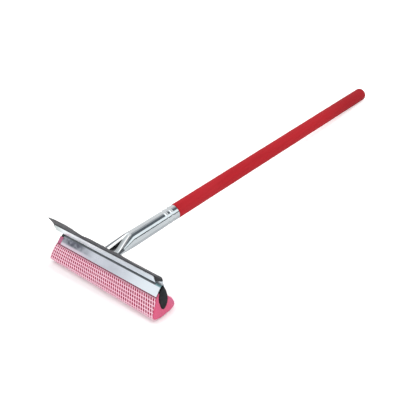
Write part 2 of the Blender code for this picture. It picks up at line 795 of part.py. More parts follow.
def bend_points(face_y, rise):
    """A quarter bend from the bill's plane onto the plane at face_y, as (y, height) with height up to rise."""
    steps = ROUND_STEPS // 2
    points = []
    for i in range(1, steps + 1):
        turn = i / steps * math.pi / 2
        y = face_y + FERRULE_BEND * (1 - math.sin(turn))
        points.append((y, FERRULE_BEND * (1 - math.cos(turn))))
    return [*points, (face_y, rise)]


def add_strip(bm, last, rows):
    """Carries a row of points on through further rows, with a face between each two."""
    for row in rows:
        verts = [bm.verts.new(point) for point in row]
        for j in range(len(verts) - 1):
            bm.faces.new((last[j], last[j + 1], verts[j + 1], verts[j]))
        last = verts


def add_ears(bm, ring, face_y, sides):
    """Carries the two halves of the bill's upper layer on and turns them up into ears."""
    columns = flat_columns(ring, range(sides // 2 + 1))
    bill_top = HANDLE_AXIS_Z + FERRULE_BILL_THICKNESS / 2
    height = FERRULE_EAR_TOP - bill_top
    widest = ring[1, columns[-1]].co.x
    for side in (-1, 1):
        rows = []
        for y, rise in [(face_y + FERRULE_BEND, 0.0), *bend_points(face_y, height)]:
            widen = 1 + (FERRULE_EAR_WIDTH / 2 / widest - 1) * rise / height
            rows.append([(ring[side, i].co.x * widen, y, bill_top + rise) for i in columns])
        add_strip(bm, [ring[side, i] for i in columns], rows)


def add_tab(bm, ring, face_y, sides):
    """Turns the bill's lower layer down into the tab that the rivets hold."""
    columns = flat_columns(ring, range(sides, sides // 2 - 1, -1))
    bill_foot = HANDLE_AXIS_Z - FERRULE_BILL_THICKNESS / 2
    depth = bill_foot - RIVET_Z + RIVET_HEAD_RADIUS + SEAT_GAP
    keys = [(-1, i) for i in reversed(columns[1:])] + [(1, i) for i in columns]
    rows = []
    for y, drop in bend_points(face_y, depth):
        rows.append([(ring[key].co.x, y, bill_foot - drop) for key in keys])
    add_strip(bm, [ring[key] for key in keys], rows)


def make_rivets(frame, steel):
    """Two rivets with domed heads behind the tab and flat tails inside the jaw."""
    tail_face = BACK_SKIRT_Y - SEAT_GAP
    head_face = TAB_Y + FERRULE_GAUGE + SEAT_GAP
    profile = [
        (tail_face - RIVET_TAIL_THICKNESS, 0),
        (tail_face - RIVET_TAIL_THICKNESS, RIVET_HEAD_RADIUS),
        (tail_face, RIVET_HEAD_RADIUS),
        (tail_face, RIVET_RADIUS),
        (head_face, RIVET_RADIUS),
    ]
    for i in range(ROUND_STEPS):
        turn = i / ROUND_STEPS * math.pi / 2
        y = head_face + RIVET_HEAD_THICKNESS * math.sin(turn)
        profile.append((y, RIVET_HEAD_RADIUS * math.cos(turn)))
    profile.append((head_face + RIVET_HEAD_THICKNESS, 0))
    for name, x in rivet_places():
        bm = turn_profile(profile, RIVET_SIDES)
        bmesh.ops.translate(bm, verts=bm.verts, vec=(x, 0, RIVET_Z))
        add_object(name, bm, steel, frame, SMOOTH_ANGLE)


def build():
    clear_scene()
    frame = make_frame()
    steel = make_material("plated_steel", (0.66, 0.69, 0.71), 0.25, 1.0)
    bright = make_material("bright_plating", (0.72, 0.74, 0.76), 0.12, 1.0)
    rubber = make_material("blade_rubber", (0.045, 0.045, 0.050), 0.65)
    black = make_material("core_plastic", (0.018, 0.020, 0.022), 0.45)
    foam = make_material("pink_foam", (0.72, 0.14, 0.24), 0.95)
    thread = make_material("net_thread", (0.93, 0.50, 0.62), 0.7)
    paint = make_material("red_paint", (0.50, 0.020, 0.030), 0.35)
    make_blade_rail(frame, steel)
    make_rubber_blade(frame, rubber)
    make_front_jaw_plate(frame, steel)
    make_back_jaw_plate(frame, steel)
    make_core_strip(frame, black)
    make_wiping_sponge(frame, foam)
    make_sponge_net(frame, thread)
    make_handle_ferrule(frame, bright)
    make_wooden_handle(frame, paint)
    make_rivets(frame, bright)


build()
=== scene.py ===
"""Looks of the car window squeegee: plated head, rubber blade, netted sponge and red wooden handle."""

import math

import bmesh
import bpy
from mathutils import Matrix, Vector


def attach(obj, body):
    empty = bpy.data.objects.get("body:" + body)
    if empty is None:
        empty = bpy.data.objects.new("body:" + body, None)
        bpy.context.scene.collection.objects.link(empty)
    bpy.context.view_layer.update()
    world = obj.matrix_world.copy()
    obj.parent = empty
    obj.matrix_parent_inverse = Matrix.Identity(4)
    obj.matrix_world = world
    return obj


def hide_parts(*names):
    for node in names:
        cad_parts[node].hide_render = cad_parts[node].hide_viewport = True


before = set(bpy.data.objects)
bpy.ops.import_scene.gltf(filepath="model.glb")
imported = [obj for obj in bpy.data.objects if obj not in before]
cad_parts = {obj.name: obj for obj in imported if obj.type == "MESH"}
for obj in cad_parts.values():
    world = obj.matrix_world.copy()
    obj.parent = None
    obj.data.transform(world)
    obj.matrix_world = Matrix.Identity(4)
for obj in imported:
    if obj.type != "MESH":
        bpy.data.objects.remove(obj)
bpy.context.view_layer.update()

# The wooden handle
# A turned rod of light wood, dipped in red paint. Its near end fills the plated socket, whose two rolled
# rings grip it, and its far end is rounded over.

# How the tool lies: from its own axes (X along the head, Y along the handle) onto the floor.
LIE_SINE = 0.05941514
LIE_SHIFT_Y = 0.00502186
LIE_SHIFT_Z = 0.03361426
lie_cosine = math.sqrt(1 - LIE_SINE * LIE_SINE)
laid = Matrix(
    (
        (1, 0, 0, 0),
        (0, lie_cosine, LIE_SINE, LIE_SHIFT_Y),
        (0, -LIE_SINE, lie_cosine, LIE_SHIFT_Z),
        (0, 0, 0, 1),
    )
)

HANDLE_AXIS_Z = 0.0050
HANDLE_RADIUS = 0.0095
HANDLE_START_Y = 0.0380
HANDLE_END_Y = 0.4950
HANDLE_END_ROUND = 0.0050
HANDLE_END_STEPS = 10
HANDLE_SIDES = 96
HANDLE_RUNS = 120
# The turned rod is a hair thin and wavy along its length: each wave's pitch and start.
HANDLE_HOLLOW = 0.00005
HANDLE_WOBBLE = 0.00003
HANDLE_WAVES = ((310, 0), (97, 1))
TENON_RADIUS = 0.0086
TENON_CHAMFER = 0.0012
TENON_GROOVE_DEPTH = 0.0008
TENON_GROOVE_HALF_WIDTH = 0.0023
RINGS = (0.0888, 0.0965)
SOCKET_RIM_Y = 0.1053
SEAT_GAP = 0.0003
# The edge of the shoulder at the socket's rim, as ways along the rod and in from its radius.
SHOULDER_EDGE = ((0, 0.0004), (0.0002, 0.0001), (0.0005, 0))
PAINT_RED = (0.430, 0.010, 0.018, 1)
PAINT_DARK = (0.350, 0.008, 0.014, 1)
PAINT_WORN = (0.470, 0.020, 0.030, 1)
PAINT_FAR = (0.300, 0.006, 0.012, 1)
SHADED_BARE_WOOD = (0.16, 0.10, 0.06, 1)


class Wire:
    """An output of a node, which can be used in plain sums with other outputs and numbers."""

    def __init__(self, nodes, socket):
        self.nodes = nodes
        self.socket = socket

    def __add__(self, other):
        return self.nodes.maths("ADD", self, other)

    def __sub__(self, other):
        return self.nodes.maths("SUBTRACT", self, other)

    def __rsub__(self, other):
        return self.nodes.maths("SUBTRACT", other, self)

    def __mul__(self, other):
        return self.nodes.maths("MULTIPLY", self, other)

    def __truediv__(self, other):
        return self.nodes.maths("DIVIDE", self, other)

    def __pow__(self, other):
        return self.nodes.maths("POWER", self, other)

    def __neg__(self):
        return self * -1

    def __abs__(self):
        return self.nodes.maths("ABSOLUTE", self)

    __radd__ = __add__
    __rmul__ = __mul__

    def clamped(self):
        return self.nodes.maths("ADD", self, 0.0, use_clamp=True)

    def steps(self, low, high):
        """0 below low and 1 above high, eased between them."""
        given = {"Value": self, "From Min": low, "From Max": high}
        return self.nodes.node("ShaderNodeMapRange", {"interpolation_type": "SMOOTHSTEP"}, given)

    def near(self, core, edge):
        """1 within the core's distance to either side of 0, and 0 beyond its edge."""
        return 1 - abs(self).steps(core, edge)

    def axis(self, name):
        return self.nodes.node("ShaderNodeSeparateXYZ", {}, self, out=name)

    def beside(self, name):
        """Another output of the same node."""
        return Wire(self.nodes, self.socket.node.outputs[name])


class Nodes:
    """A node tree that is built node by node."""

    def __init__(self, tree):
        self.tree = tree

    def node(self, kind, settings, *values, out=0):
        """Adds a node, sets it up, feeds its sockets in order or by name, and gives one of its outputs."""
        made = self.tree.nodes.new(kind)
        for key, value in settings.items():
            setattr(made, key, value)
        named = values[0] if values and isinstance(values[0], dict) else dict(enumerate(values))
        for key, value in named.items():
            socket = made.inputs[key]
            if isinstance(value, Wire):
                self.tree.links.new(value.socket, socket)
            else:
                socket.default_value = value
        return Wire(self, made.outputs[out])

    def maths(self, operation, *values, **settings):
        return self.node("ShaderNodeMath", {"operation": operation, **settings}, *values)


class Shader(Nodes):
    """The node tree of one finish, with a Principled BSDF at its end."""

    def __init__(self, name, **plain):
        self.material = bpy.data.materials.new(name)
        self.material.use_nodes = True
        super().__init__(self.material.node_tree)
        self.surface = self.tree.nodes["Principled BSDF"]
        for socket, value in plain.items():
            self.surface.inputs[socket.replace("_", " ")].default_value = value
        self.place = self.node("ShaderNodeTexCoord", {}, out="Object")

    def noise(self, x, y, z, detail=3.0):
        """A noise with about this many grains to the metre along each axis."""
        where = self.node("ShaderNodeMapping", {}, {"Vector": self.place, "Scale": (x, y, z)})
        given = {"Vector": where, "Scale": 1.0, "Detail": detail, "Roughness": 0.55}
        return self.node("ShaderNodeTexNoise", {}, given, out="Fac")

    def mix(self, share, one, other):
        """From one colour to the other by the share."""
        return self.node("ShaderNodeMix", {"data_type": "RGBA"}, {0: share, 6: one, 7: other}, out=2)

    def layered(self, base, *layers):
        """The base colour with each (share, colour) laid over it in turn."""
        for share, colour in layers:
            base = self.mix(share, base, colour)
        return base

    def tool_axes(self):
        """Where a point lies along the tool's own Y and Z, before the tool was laid down."""
        y = self.place.axis("Y") - LIE_SHIFT_Y
        z = self.place.axis("Z") - LIE_SHIFT_Z
        return y * lie_cosine - z * LIE_SINE, y * LIE_SINE + z * lie_cosine

    def feed(self, socket, wire):
        self.tree.links.new(wire.socket, self.surface.inputs[socket])

    def bump(self, height, distance, strength):
        given = {"Height": height, "Distance": distance, "Strength": strength}
        self.feed("Normal", self.node("ShaderNodeBump", {}, given))


def placed(name, data):
    """A new object in the scene, at the origin."""
    made = bpy.data.objects.new(name, data)
    bpy.context.scene.collection.objects.link(made)
    return made


def finished_piece(name, mesh, node):
    """Stands the finished mesh in the scene as the piece that replaces a CAD node."""
    piece = placed(name, mesh)
    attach(piece, "root")
    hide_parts(node)
    return piece


def ring_faces(count, total):
    """The faces between rings of this many points each, with so many points in all."""
    faces = []
    for low in range(0, total - count, count):
        for i in range(count):
            j = (i + 1) % count
            faces.append((low + i, low + j, low + count + j, low + count + i))
    return faces


def lofted_piece(name, sections, shader, node, sharp=40):
    """A closed piece through sections in the tool's own axes, laid down and given its finish."""
    count = len(sections[0])
    verts = [point for section in sections for point in section]
    caps = [tuple(range(count)), tuple(range(len(verts) - count, len(verts)))]
    mesh = bpy.data.meshes.new(name)
    mesh.from_pydata(verts, [], ring_faces(count, len(verts)) + caps)
    mesh.transform(laid)
    bm = bmesh.new()
    bm.from_mesh(mesh)
    bmesh.ops.remove_doubles(bm, verts=bm.verts, dist=0.000005)
    bmesh.ops.recalc_face_normals(bm, faces=bm.faces)
    bm.to_mesh(mesh)
    bm.free()
    mesh.shade_smooth()
    mesh.set_sharp_from_angle(angle=math.radians(sharp))
    mesh.materials.append(shader.material)
    return finished_piece(name, mesh, node)


handle_profile = [
    (HANDLE_START_Y, TENON_RADIUS - TENON_CHAMFER),
    (HANDLE_START_Y + TENON_CHAMFER, TENON_RADIUS),
]
for ring in RINGS:
    for way, depth in ((-TENON_GROOVE_HALF_WIDTH, 0), (0, TENON_GROOVE_DEPTH), (TENON_GROOVE_HALF_WIDTH, 0)):
        handle_profile.append((ring + way, TENON_RADIUS - depth))
shoulder = SOCKET_RIM_Y + SEAT_GAP
handle_profile.append((shoulder, TENON_RADIUS))
handle_profile += [(shoulder + way, HANDLE_RADIUS - depth) for way, depth in SHOULDER_EDGE]
straight_end = HANDLE_END_Y - HANDLE_END_ROUND
for run in range(1, HANDLE_RUNS + 1):
    y = shoulder + (straight_end - shoulder) * run / HANDLE_RUNS
    wobble = sum(HANDLE_WOBBLE * math.sin(y * pitch + start) for pitch, start in HANDLE_WAVES)
    handle_profile.append((y, HANDLE_RADIUS - HANDLE_HOLLOW + wobble))
for i in range(1, HANDLE_END_STEPS + 1):
    turn = i / HANDLE_END_STEPS * math.pi / 2
    y = HANDLE_END_Y - HANDLE_END_ROUND * (1 - math.sin(turn))
    handle_profile.append((y, HANDLE_RADIUS - HANDLE_HOLLOW - HANDLE_END_ROUND * (1 - math.cos(turn))))

paint = Shader("red_paint_on_wood", Roughness=0.42, Specular_IOR_Level=0.08)
grain = paint.noise(420, 14, 420, 4.0)
cloud = paint.noise(18, 9, 18)
speck = paint.noise(900, 500, 900, 2.0)
paint_y, _ = paint.tool_axes()
paint_colour = paint.layered(
    PAINT_RED,
    (grain.steps(0.42, 0.70) * 0.55, PAINT_DARK),
    (cloud.steps(0.50, 0.75) * 0.5, PAINT_WORN),
    (paint_y.steps(0.37, 0.46) * 0.75, PAINT_FAR),
)
# The tenon inside the socket is bare of paint, and its wood is given a darker colour than light wood:
# painted shade for the inside of the socket.
paint.feed("Base Color", paint.mix(paint_y.steps(0.1045, 0.1050), SHADED_BARE_WOOD, paint_colour))
paint.feed("Roughness", 0.40 + cloud * 0.14 + speck * 0.08)
paint.bump(grain * 0.7 + speck * 0.3, 0.00012, 0.5)
turns = [2 * math.pi * i / HANDLE_SIDES for i in range(HANDLE_SIDES)]
sections = []
for y, radius in handle_profile:
    ring = [(radius * math.sin(turn), y, HANDLE_AXIS_Z + radius * math.cos(turn)) for turn in turns]
    sections.append(ring)
lofted_piece("handle_rod", sections, paint, "wooden_handle")

# The handle's socket
# A tube rolled from plated sheet and crimped round the rod. Its head end is pressed flat, slit on top in a V
# and turned out into two ears and a tab that sit on the back jaw plate.

SOCKET_GAUGE = 0.0005
SOCKET_RIM_RADIUS = TENON_RADIUS + SEAT_GAP + SOCKET_GAUGE
SOCKET_SWELL = 0.0006
SOCKET_HEAD_RADIUS = SOCKET_RIM_RADIUS + SOCKET_SWELL
SOCKET_RUNS = 60
FLARE_Y = 0.0360
FLARE_RUNS = 8
SLIT_SHARE = 0.65
SLIT_WIDTH = 0.0096
SLIT_RUNS = 18
BILL_THICKNESS = 0.0027
PRESSED_IN = SOCKET_HEAD_RADIUS - BILL_THICKNESS / 2
SOCKET_BEND = 0.0010
BEND_RUNS = 6
EAR_Y = 0.0053
EAR_TOP = 0.0097
EAR_WIDTH = 0.0500
TAB_Y = 0.00615
TAB_FOOT_Z = -0.0051
RING_DEPTH = 0.0006
RING_WIDTH = 0.0040
QUARTER_SIDES = 60
LEG_RIDGE = 0.0004
LEG_RIDGE_HALF_WIDTH = 0.0012
LEG_RIDGE_PLACE = 0.0016
LEG_LIP = 0.0004
LEG_LIP_WIDTH = 0.0008
# Shares of the flare over which the legs' relief grows and fades, and of the slit's width where it is full.
LEG_GROWS = 0.35
LEG_FADES = 0.12
LEG_FULL = 0.25
# Lines along the legs for their painted highlights and painted shade, each by a place on it, as X and Y, and
# its taper.
# The right leg ends in a spot of painted shade.
LEFT_PAINTED_LINE = (-0.0041, 0.0340, -0.305)
RIGHT_PAINTED_LINE = (0.00855, 0.0215, 0.35)
SHADE_LINE = (0.00920, 0.0215, 0.33)
PLATE_LIGHT = (0.62, 0.65, 0.67, 1)
PLATE_DARK = (0.57, 0.60, 0.62, 1)
LEG_PAINTED_GREY = (0.36, 0.38, 0.39, 1)
LEG_PAINTED_HIGHLIGHT = (1.0, 1.0, 1.0, 1)
LEG_PAINTED_SHADE = (0.12, 0.13, 0.14, 1)
BARE_STEEL = (0.20, 0.21, 0.22, 1)


def ring_depth(y):
    """How far the rolled rings are pressed in at this place along the tube."""
    depth = 0.0
    for ring in RINGS:
        way = abs(y - ring) / (RING_WIDTH / 2)
        if way < 1:
            depth += RING_DEPTH * (1 + math.cos(math.pi * way)) / 2
    return depth


def socket_rows(bill_end):
    """The rings of the tube from its rim to its bill.

    Each is (y, flat half width, half height, slit half width, share of the legs' relief).
    """
    rows = []
    for i in range(SOCKET_RUNS + 1):
        y = SOCKET_RIM_Y + (FLARE_Y - SOCKET_RIM_Y) * i / SOCKET_RUNS
        swell = SOCKET_SWELL * (SOCKET_RIM_Y - y) / (SOCKET_RIM_Y - FLARE_Y)
        rows.append((y, 0.0, SOCKET_RIM_RADIUS + swell - ring_depth(y), 0.0, 0.0))
    flare = FLARE_Y - bill_end
    slit = flare * SLIT_SHARE
    places = [(flare - (flare - slit) * i / FLARE_RUNS, 0.0) for i in range(1, FLARE_RUNS)]
    for i in range(SLIT_RUNS + 1):
        places.append((slit * (1 - i / SLIT_RUNS), SLIT_WIDTH / 2 * i / SLIT_RUNS))
    for rise, opening in places:
        way = 1 - rise / flare
        pressed = PRESSED_IN * way
        relief = min(1.0, way / LEG_GROWS) * min(1.0, (1 - way) / LEG_FADES)
        rows.append((bill_end + rise, math.pi / 2 * pressed, SOCKET_HEAD_RADIUS - pressed, opening, relief))
    return rows


def socket_point(flat, half_height, share, opening, relief):
    """A point of the tube's section: share runs from the top middle, 0, to the bottom, 1."""
    quarter = flat + math.pi / 2 * half_height
    upper = share <= 0.5
    way = 2 * min(share, 1 - share)
    along = opening + (quarter - opening) * way if upper else quarter * way
    turn = max(0.0, along - flat) / half_height
    x = min(along, flat) + half_height * math.sin(turn)
    z = half_height * math.cos(turn)
    if upper:
        z += relief * leg_relief(along - opening, opening)
    return x, HANDLE_AXIS_Z + (z if upper else -z)


def leg_relief(distance, opening):
    """How far a leg of the fork stands up beside the slit: a bead along it, rolled down at the edge."""
    beside_bead = min(1.0, abs(distance - LEG_RIDGE_PLACE) / LEG_RIDGE_HALF_WIDTH)
    rise = LEG_RIDGE * math.cos(math.pi / 2 * beside_bead) ** 2
    rise -= LEG_LIP * max(0.0, 1 - distance / LEG_LIP_WIDTH) ** 2
    return min(1.0, opening / (SLIT_WIDTH / 2) / LEG_FULL) * rise


sides = 2 * QUARTER_SIDES
tab_face = TAB_Y + SOCKET_GAUGE
flare_length = FLARE_Y - tab_face - SOCKET_BEND
slit_length = flare_length * SLIT_SHARE
slit_end = tab_face + SOCKET_BEND + slit_length
slit_taper = SLIT_WIDTH / 2 / slit_length
socket = bmesh.new()
rings = []
for y, flat, half_height, opening, relief in socket_rows(tab_face + SOCKET_BEND):
    ring = {}
    for i in range(sides + 1):
        x, z = socket_point(flat, half_height, i / sides, opening, relief)
        ring[1, i] = socket.verts.new((x, y, z))
        merged = i == sides or (i == 0 and opening == 0)
        ring[-1, i] = ring[1, i] if merged else socket.verts.new((-x, y, z))
    rings.append(ring)
for near, far in zip(rings, rings[1:]):
    for side in (-1, 1):
        for i in range(sides):
            socket.faces.new((near[side, i], near[side, i + 1], far[side, i + 1], far[side, i]))


def carry_on(last, rows):
    """Carries a row of points on through further rows, with a face between each two."""
    for row in rows:
        fresh = [socket.verts.new(point) for point in row]
        for j in range(len(fresh) - 1):
            socket.faces.new((last[j], last[j + 1], fresh[j + 1], fresh[j]))
        last = fresh


def bend_rows(face_y, rise):
    """A quarter bend from the bill's plane onto the plane at face_y, as (y, height) up to rise."""
    points = []
    for i in range(1, BEND_RUNS + 1):
        turn = i / BEND_RUNS * math.pi / 2
        points.append((face_y + SOCKET_BEND * (1 - math.sin(turn)), SOCKET_BEND * (1 - math.cos(turn))))
    return [*points, (face_y, rise)]


flat_half = math.pi / 2 * PRESSED_IN
last_ring = rings[-1]
upper = [i for i in range(QUARTER_SIDES + 1) if last_ring[1, i].co.x <= flat_half]
lower = [i for i in range(sides, QUARTER_SIDES - 1, -1) if last_ring[1, i].co.x <= flat_half]
bill_top = HANDLE_AXIS_Z + BILL_THICKNESS / 2
bill_foot = HANDLE_AXIS_Z - BILL_THICKNESS / 2
ear_face = EAR_Y + SOCKET_GAUGE
ear_rise = EAR_TOP - bill_top
widest = last_ring[1, upper[-1]].co.x
for side in (-1, 1):
    rows = []
    for y, rise in [(ear_face + SOCKET_BEND, 0.0), *bend_rows(ear_face, ear_rise)]:
        widen = 1 + (EAR_WIDTH / 2 / widest - 1) * rise / ear_rise
        rows.append([(last_ring[side, i].co.x * widen, y, bill_top + rise) for i in upper])
    carry_on([last_ring[side, i] for i in upper], rows)
keys = [(-1, i) for i in reversed(lower[1:])] + [(1, i) for i in lower]
rows = []
for y, drop in bend_rows(tab_face, bill_foot - TAB_FOOT_Z):
    rows.append([(last_ring[key].co.x, y, bill_foot - drop) for key in keys])
carry_on([last_ring[key] for key in keys], rows)
bmesh.ops.recalc_face_normals(socket, faces=socket.faces)
sheet_mesh = bpy.data.meshes.new("socket_sheet")
socket.to_mesh(sheet_mesh)
socket.free()


def settled_mesh(host):
    """The plain mesh that an object's modifiers make; the modifiers are removed."""
    made = bpy.data.meshes.new_from_object(host.evaluated_get(bpy.context.evaluated_depsgraph_get()))
    host.modifiers.clear()
    return made


sheet = placed("socket_sheet", sheet_mesh)
thicken = sheet.modifiers.new("sheet", "SOLIDIFY")
thicken.thickness = SOCKET_GAUGE
thicken.offset = -1
thicken.use_even_offset = False
socket_mesh = settled_mesh(sheet)
bpy.data.objects.remove(sheet)
socket_mesh.transform(laid)
socket_mesh.shade_smooth()
socket_mesh.set_sharp_from_angle(angle=math.radians(35))

steel_shine = Shader("socket_plating", Metallic=1.0, Roughness=0.10)
plate_cloud = steel_shine.noise(60, 30, 60)
plate_fine = steel_shine.noise(700, 160, 700)
leg_x = steel_shine.place.axis("X")
leg_y, leg_z = steel_shine.tool_axes()


def beside_line(x, y, taper):
    """How far a point lies to the right of the slanting line through this place."""
    return leg_x - x - (y - leg_y) * taper


# The legs of the fork have their light and shade painted in: the bright bands are painted highlights, and a
# grey band, dark lines and a dark spot at the right leg's lower end are painted shade.
leg_share = leg_z.steps(0.0048, 0.0056) * (1 - leg_y.steps(0.0310, 0.0350))
slit_half = (slit_end - leg_y).clamped() * slit_taper
left_painted_line = beside_line(*LEFT_PAINTED_LINE)
right_painted_line = beside_line(*RIGHT_PAINTED_LINE)
left_painted_highlight = (-leg_x - slit_half).steps(0.0, 0.0006) * left_painted_line.steps(0.0022, 0.0030)
right_painted_highlight = right_painted_line.near(0.0007, 0.0013)
right_painted_grey = (leg_x - slit_half).steps(0.0, 0.0004) * (1 - right_painted_line.steps(-0.0026, -0.0016))
left_painted_shade = (left_painted_line - 0.0004).near(0.0018, 0.0026)
right_painted_shade = beside_line(*SHADE_LINE).near(0.0003, 0.0008)
crevice_painted_shade = leg_x.steps(0.0114, 0.0124) * (1 - leg_y.steps(0.0160, 0.0180))
leg_highlight_share = (left_painted_highlight + right_painted_highlight).clamped() * leg_share
leg_shade_share = (left_painted_shade * 0.9 + right_painted_shade * 0.8 + crevice_painted_shade).clamped() * leg_share
# The plating did not reach far into the pressed end, so its floor inside stays dull grey.
pressed_in = ((FLARE_Y - leg_y) / flare_length).clamped() * PRESSED_IN
beyond_flat = (abs(leg_x) - pressed_in * (math.pi / 2)).clamped()
rise = leg_z - HANDLE_AXIS_Z
from_middle = (beyond_flat * beyond_flat + rise * rise) ** 0.5
inner_share = (SOCKET_HEAD_RADIUS - pressed_in - from_middle).steps(0.0002, 0.0003)
inner_share = inner_share * (1 - rise.steps(0.0, 0.0005)) * (1 - leg_y.steps(FLARE_Y - 0.001, FLARE_Y))
steel_colour = steel_shine.layered(
    PLATE_LIGHT,
    (plate_cloud.steps(0.35, 0.7), PLATE_DARK),
    (right_painted_grey * leg_share, LEG_PAINTED_GREY),
    (leg_highlight_share, LEG_PAINTED_HIGHLIGHT),
    (leg_shade_share, LEG_PAINTED_SHADE),
    (inner_share, BARE_STEEL),
)
steel_shine.feed("Base Color", steel_colour)
steel_shine.feed("Metallic", 1 - inner_share)
steel_shine.feed("Roughness", 0.05 + plate_cloud * 0.05 + plate_fine * 0.03 + inner_share * 0.5)
steel_shine.bump(plate_fine, 0.00008, 0.15)
socket_mesh.materials.append(steel_shine.material)
finished_piece("socket_tube", socket_mesh, "handle_ferrule")

# The rubber blade
# A strip of black rubber, moulded thicker at its root than at its lip. The rail grips its root, and it has
# taken a soft wavy lean forward.

RUBBER_LENGTH = 0.2181
RUBBER_SHIFT = -0.0084
RUBBER_BULGE = 0.0020
RUBBER_BULGE_RUN = 0.0120
RUBBER_FRONT_Y = 0.0008
RUBBER_ROOT = 0.0018
RUBBER_LIP = 0.0010
RUBBER_EDGE_SHARE = 0.72
RUBBER_REACH = 0.0125
RUBBER_HOLD = 0.0057
RUBBER_SET_POWER = 4
RUBBER_MOST_LEAN = math.radians(46)
# How far it leans from its left end, 0, to its right end, 1, as shares of the most.
RUBBER_LEANS = (
    (0.00, 0.56),
    (0.07, 0.45),
    (0.18, 0.44),
    (0.24, 0.51),
    (0.29, 0.64),
    (0.35, 0.76),
    (0.445, 0.65),
    (0.55, 0.73),
    (0.72, 0.72),
    (0.81, 0.91),
    (0.90, 0.98),
    (1.00, 1.00),
)
RUBBER_TRIM = 0.0030
RUBBER_TRIM_START = 0.0030
RUBBER_TRIM_RUN = 0.0080
RUBBER_RUNS = 240
RUBBER_LIFTS = 14
RUBBER_BLACK = (0.060, 0.062, 0.068, 1)
RUBBER_DUSTY = (0.115, 0.118, 0.128, 1)
RUBBER_SHADED = (0.012, 0.013, 0.015, 1)
RAIL_TOP_Z = 0.0100
RAIL_LENGTH = 0.2032
RAIL_SHIFT = -0.0129


def rubber_lean(share):
    for (low, low_lean), (high, high_lean) in zip(RUBBER_LEANS, RUBBER_LEANS[1:]):
        if share <= high:
            way = (share - low) / (high - low)
            way = way * way * (3 - 2 * way)
            return RUBBER_MOST_LEAN * (low_lean + (high_lean - low_lean) * way)


def rubber_section(x, end_turn):
    """The outline of the rubber at one place: up its front, over its lip and down its back."""
    from_left = x - RUBBER_SHIFT + RUBBER_LENGTH / 2
    bulge = RUBBER_BULGE * max(0.0, 1 - from_left / RUBBER_BULGE_RUN)
    past_rail = x - RAIL_SHIFT - RAIL_LENGTH / 2
    trimmed = min(1.0, max(0.0, past_rail - RUBBER_TRIM_START) / RUBBER_TRIM_RUN)
    root_z = RAIL_TOP_Z - RUBBER_HOLD + RUBBER_TRIM * trimmed
    y = RUBBER_FRONT_Y + RUBBER_ROOT / 2
    z = RAIL_TOP_Z
    step = RUBBER_REACH / RUBBER_LIFTS
    front = [(x, RUBBER_FRONT_Y, height) for height in (root_z, (root_z + z) / 2)]
    rear = [(x, RUBBER_FRONT_Y + RUBBER_ROOT, height) for _, _, height in front]
    for lift in range(RUBBER_LIFTS + 1):
        share = lift / RUBBER_LIFTS
        turn = end_turn * (1 - (1 - share) ** RUBBER_SET_POWER)
        if lift:
            middle = end_turn * (1 - (1 - (lift - 0.5) / RUBBER_LIFTS) ** RUBBER_SET_POWER)
            y -= step * math.sin(middle)
            z += step * math.cos(middle)
        half = (RUBBER_ROOT + (RUBBER_LIP - RUBBER_ROOT) * share) / 2
        if lift == RUBBER_LIFTS:
            half *= RUBBER_EDGE_SHARE
        out = x - bulge * 4 * share * (1 - share)
        front.append((out, y - half * math.cos(turn), z - half * math.sin(turn)))
        rear.append((out, y + half * math.cos(turn), z + half * math.sin(turn)))
    return front + rear[::-1]


sections = []
for run in range(RUBBER_RUNS + 1):
    share = run / RUBBER_RUNS
    x = RUBBER_SHIFT + (share - 0.5) * RUBBER_LENGTH
    sections.append(rubber_section(x, rubber_lean(share)))
rubber = Shader("black_rubber", Roughness=0.6, Specular_IOR_Level=0.4)
dust = rubber.noise(40, 90, 90, 4.0)
pores = rubber.noise(1400, 1400, 1400, 2.0)
across = rubber.place.axis("X")
_, tool_z = rubber.tool_axes()
past_rail = (across.steps(0.0880, 0.0900) + (1 - across.steps(-0.1160, -0.1150))).clamped()
rubber_colour = rubber.layered(
    RUBBER_BLACK,
    (dust.steps(0.35, 0.75), RUBBER_DUSTY),
    (1 - across.steps(-0.1000, -0.0600), RUBBER_BLACK),
    (past_rail * (1 - tool_z.steps(0.0105, 0.0125)), RUBBER_SHADED),
)
rubber.feed("Base Color", rubber_colour)
rubber.feed("Roughness", 0.5 + dust * 0.25)
rubber.bump(pores * 0.4 + dust * 0.6, 0.0002, 0.35)
lofted_piece("rubber_lip", sections, rubber, "rubber_blade", sharp=50)

# The blade rail
# A channel folded from plated sheet and spot welded to the jaws. It grips the rubber's root, and its front
# wall is the pale strip above the crease.

RAIL_GAUGE = 0.0005
RAIL_BACK_Y = 0.0029
RAIL_LIFT = 0.0013
RAIL_BEND = 0.0008
RAIL_CORNER = 0.0014
RAIL_CORNER_RUNS = 10
SKIRT_LIGHT = (0.60, 0.63, 0.70, 1)
SKIRT_DARK = (0.52, 0.55, 0.61, 1)
SKIRT_RIGHT_PAINTED_LIGHT = (0.79, 0.86, 0.92, 1)
SKIRT_LOW_LEFT_PAINTED_LIGHT = (0.72, 0.63, 0.72, 1)
SKIRT_PAINTED_SHADE = (0.09, 0.095, 0.125, 1)
RAIL_LIGHT = (0.82, 0.85, 0.885, 1)
RAIL_DARK = (0.74, 0.77, 0.81, 1)
RAIL_LEFT = (0.48, 0.55, 0.545, 1)
CREASE_SHADE = (0.080, 0.094, 0.104, 1)
CREASE_RIGHT = (0.22, 0.42, 0.46, 1)


def offset_path(points, distance):
    """The open path moved to its right, so that each of its sides stays parallel to itself."""
    moved = []
    last = len(points) - 1
    for i, point in enumerate(points):
        before = (points[max(i, 1)] - points[max(i, 1) - 1]).normalized()
        after = (points[min(i, last - 1) + 1] - points[min(i, last - 1)]).normalized()
        sideways = Vector((before[1] + after[1], -before[0] - after[0]))
        sideways *= 2 * distance / sideways.length_squared
        moved.append(point + sideways)
    return moved


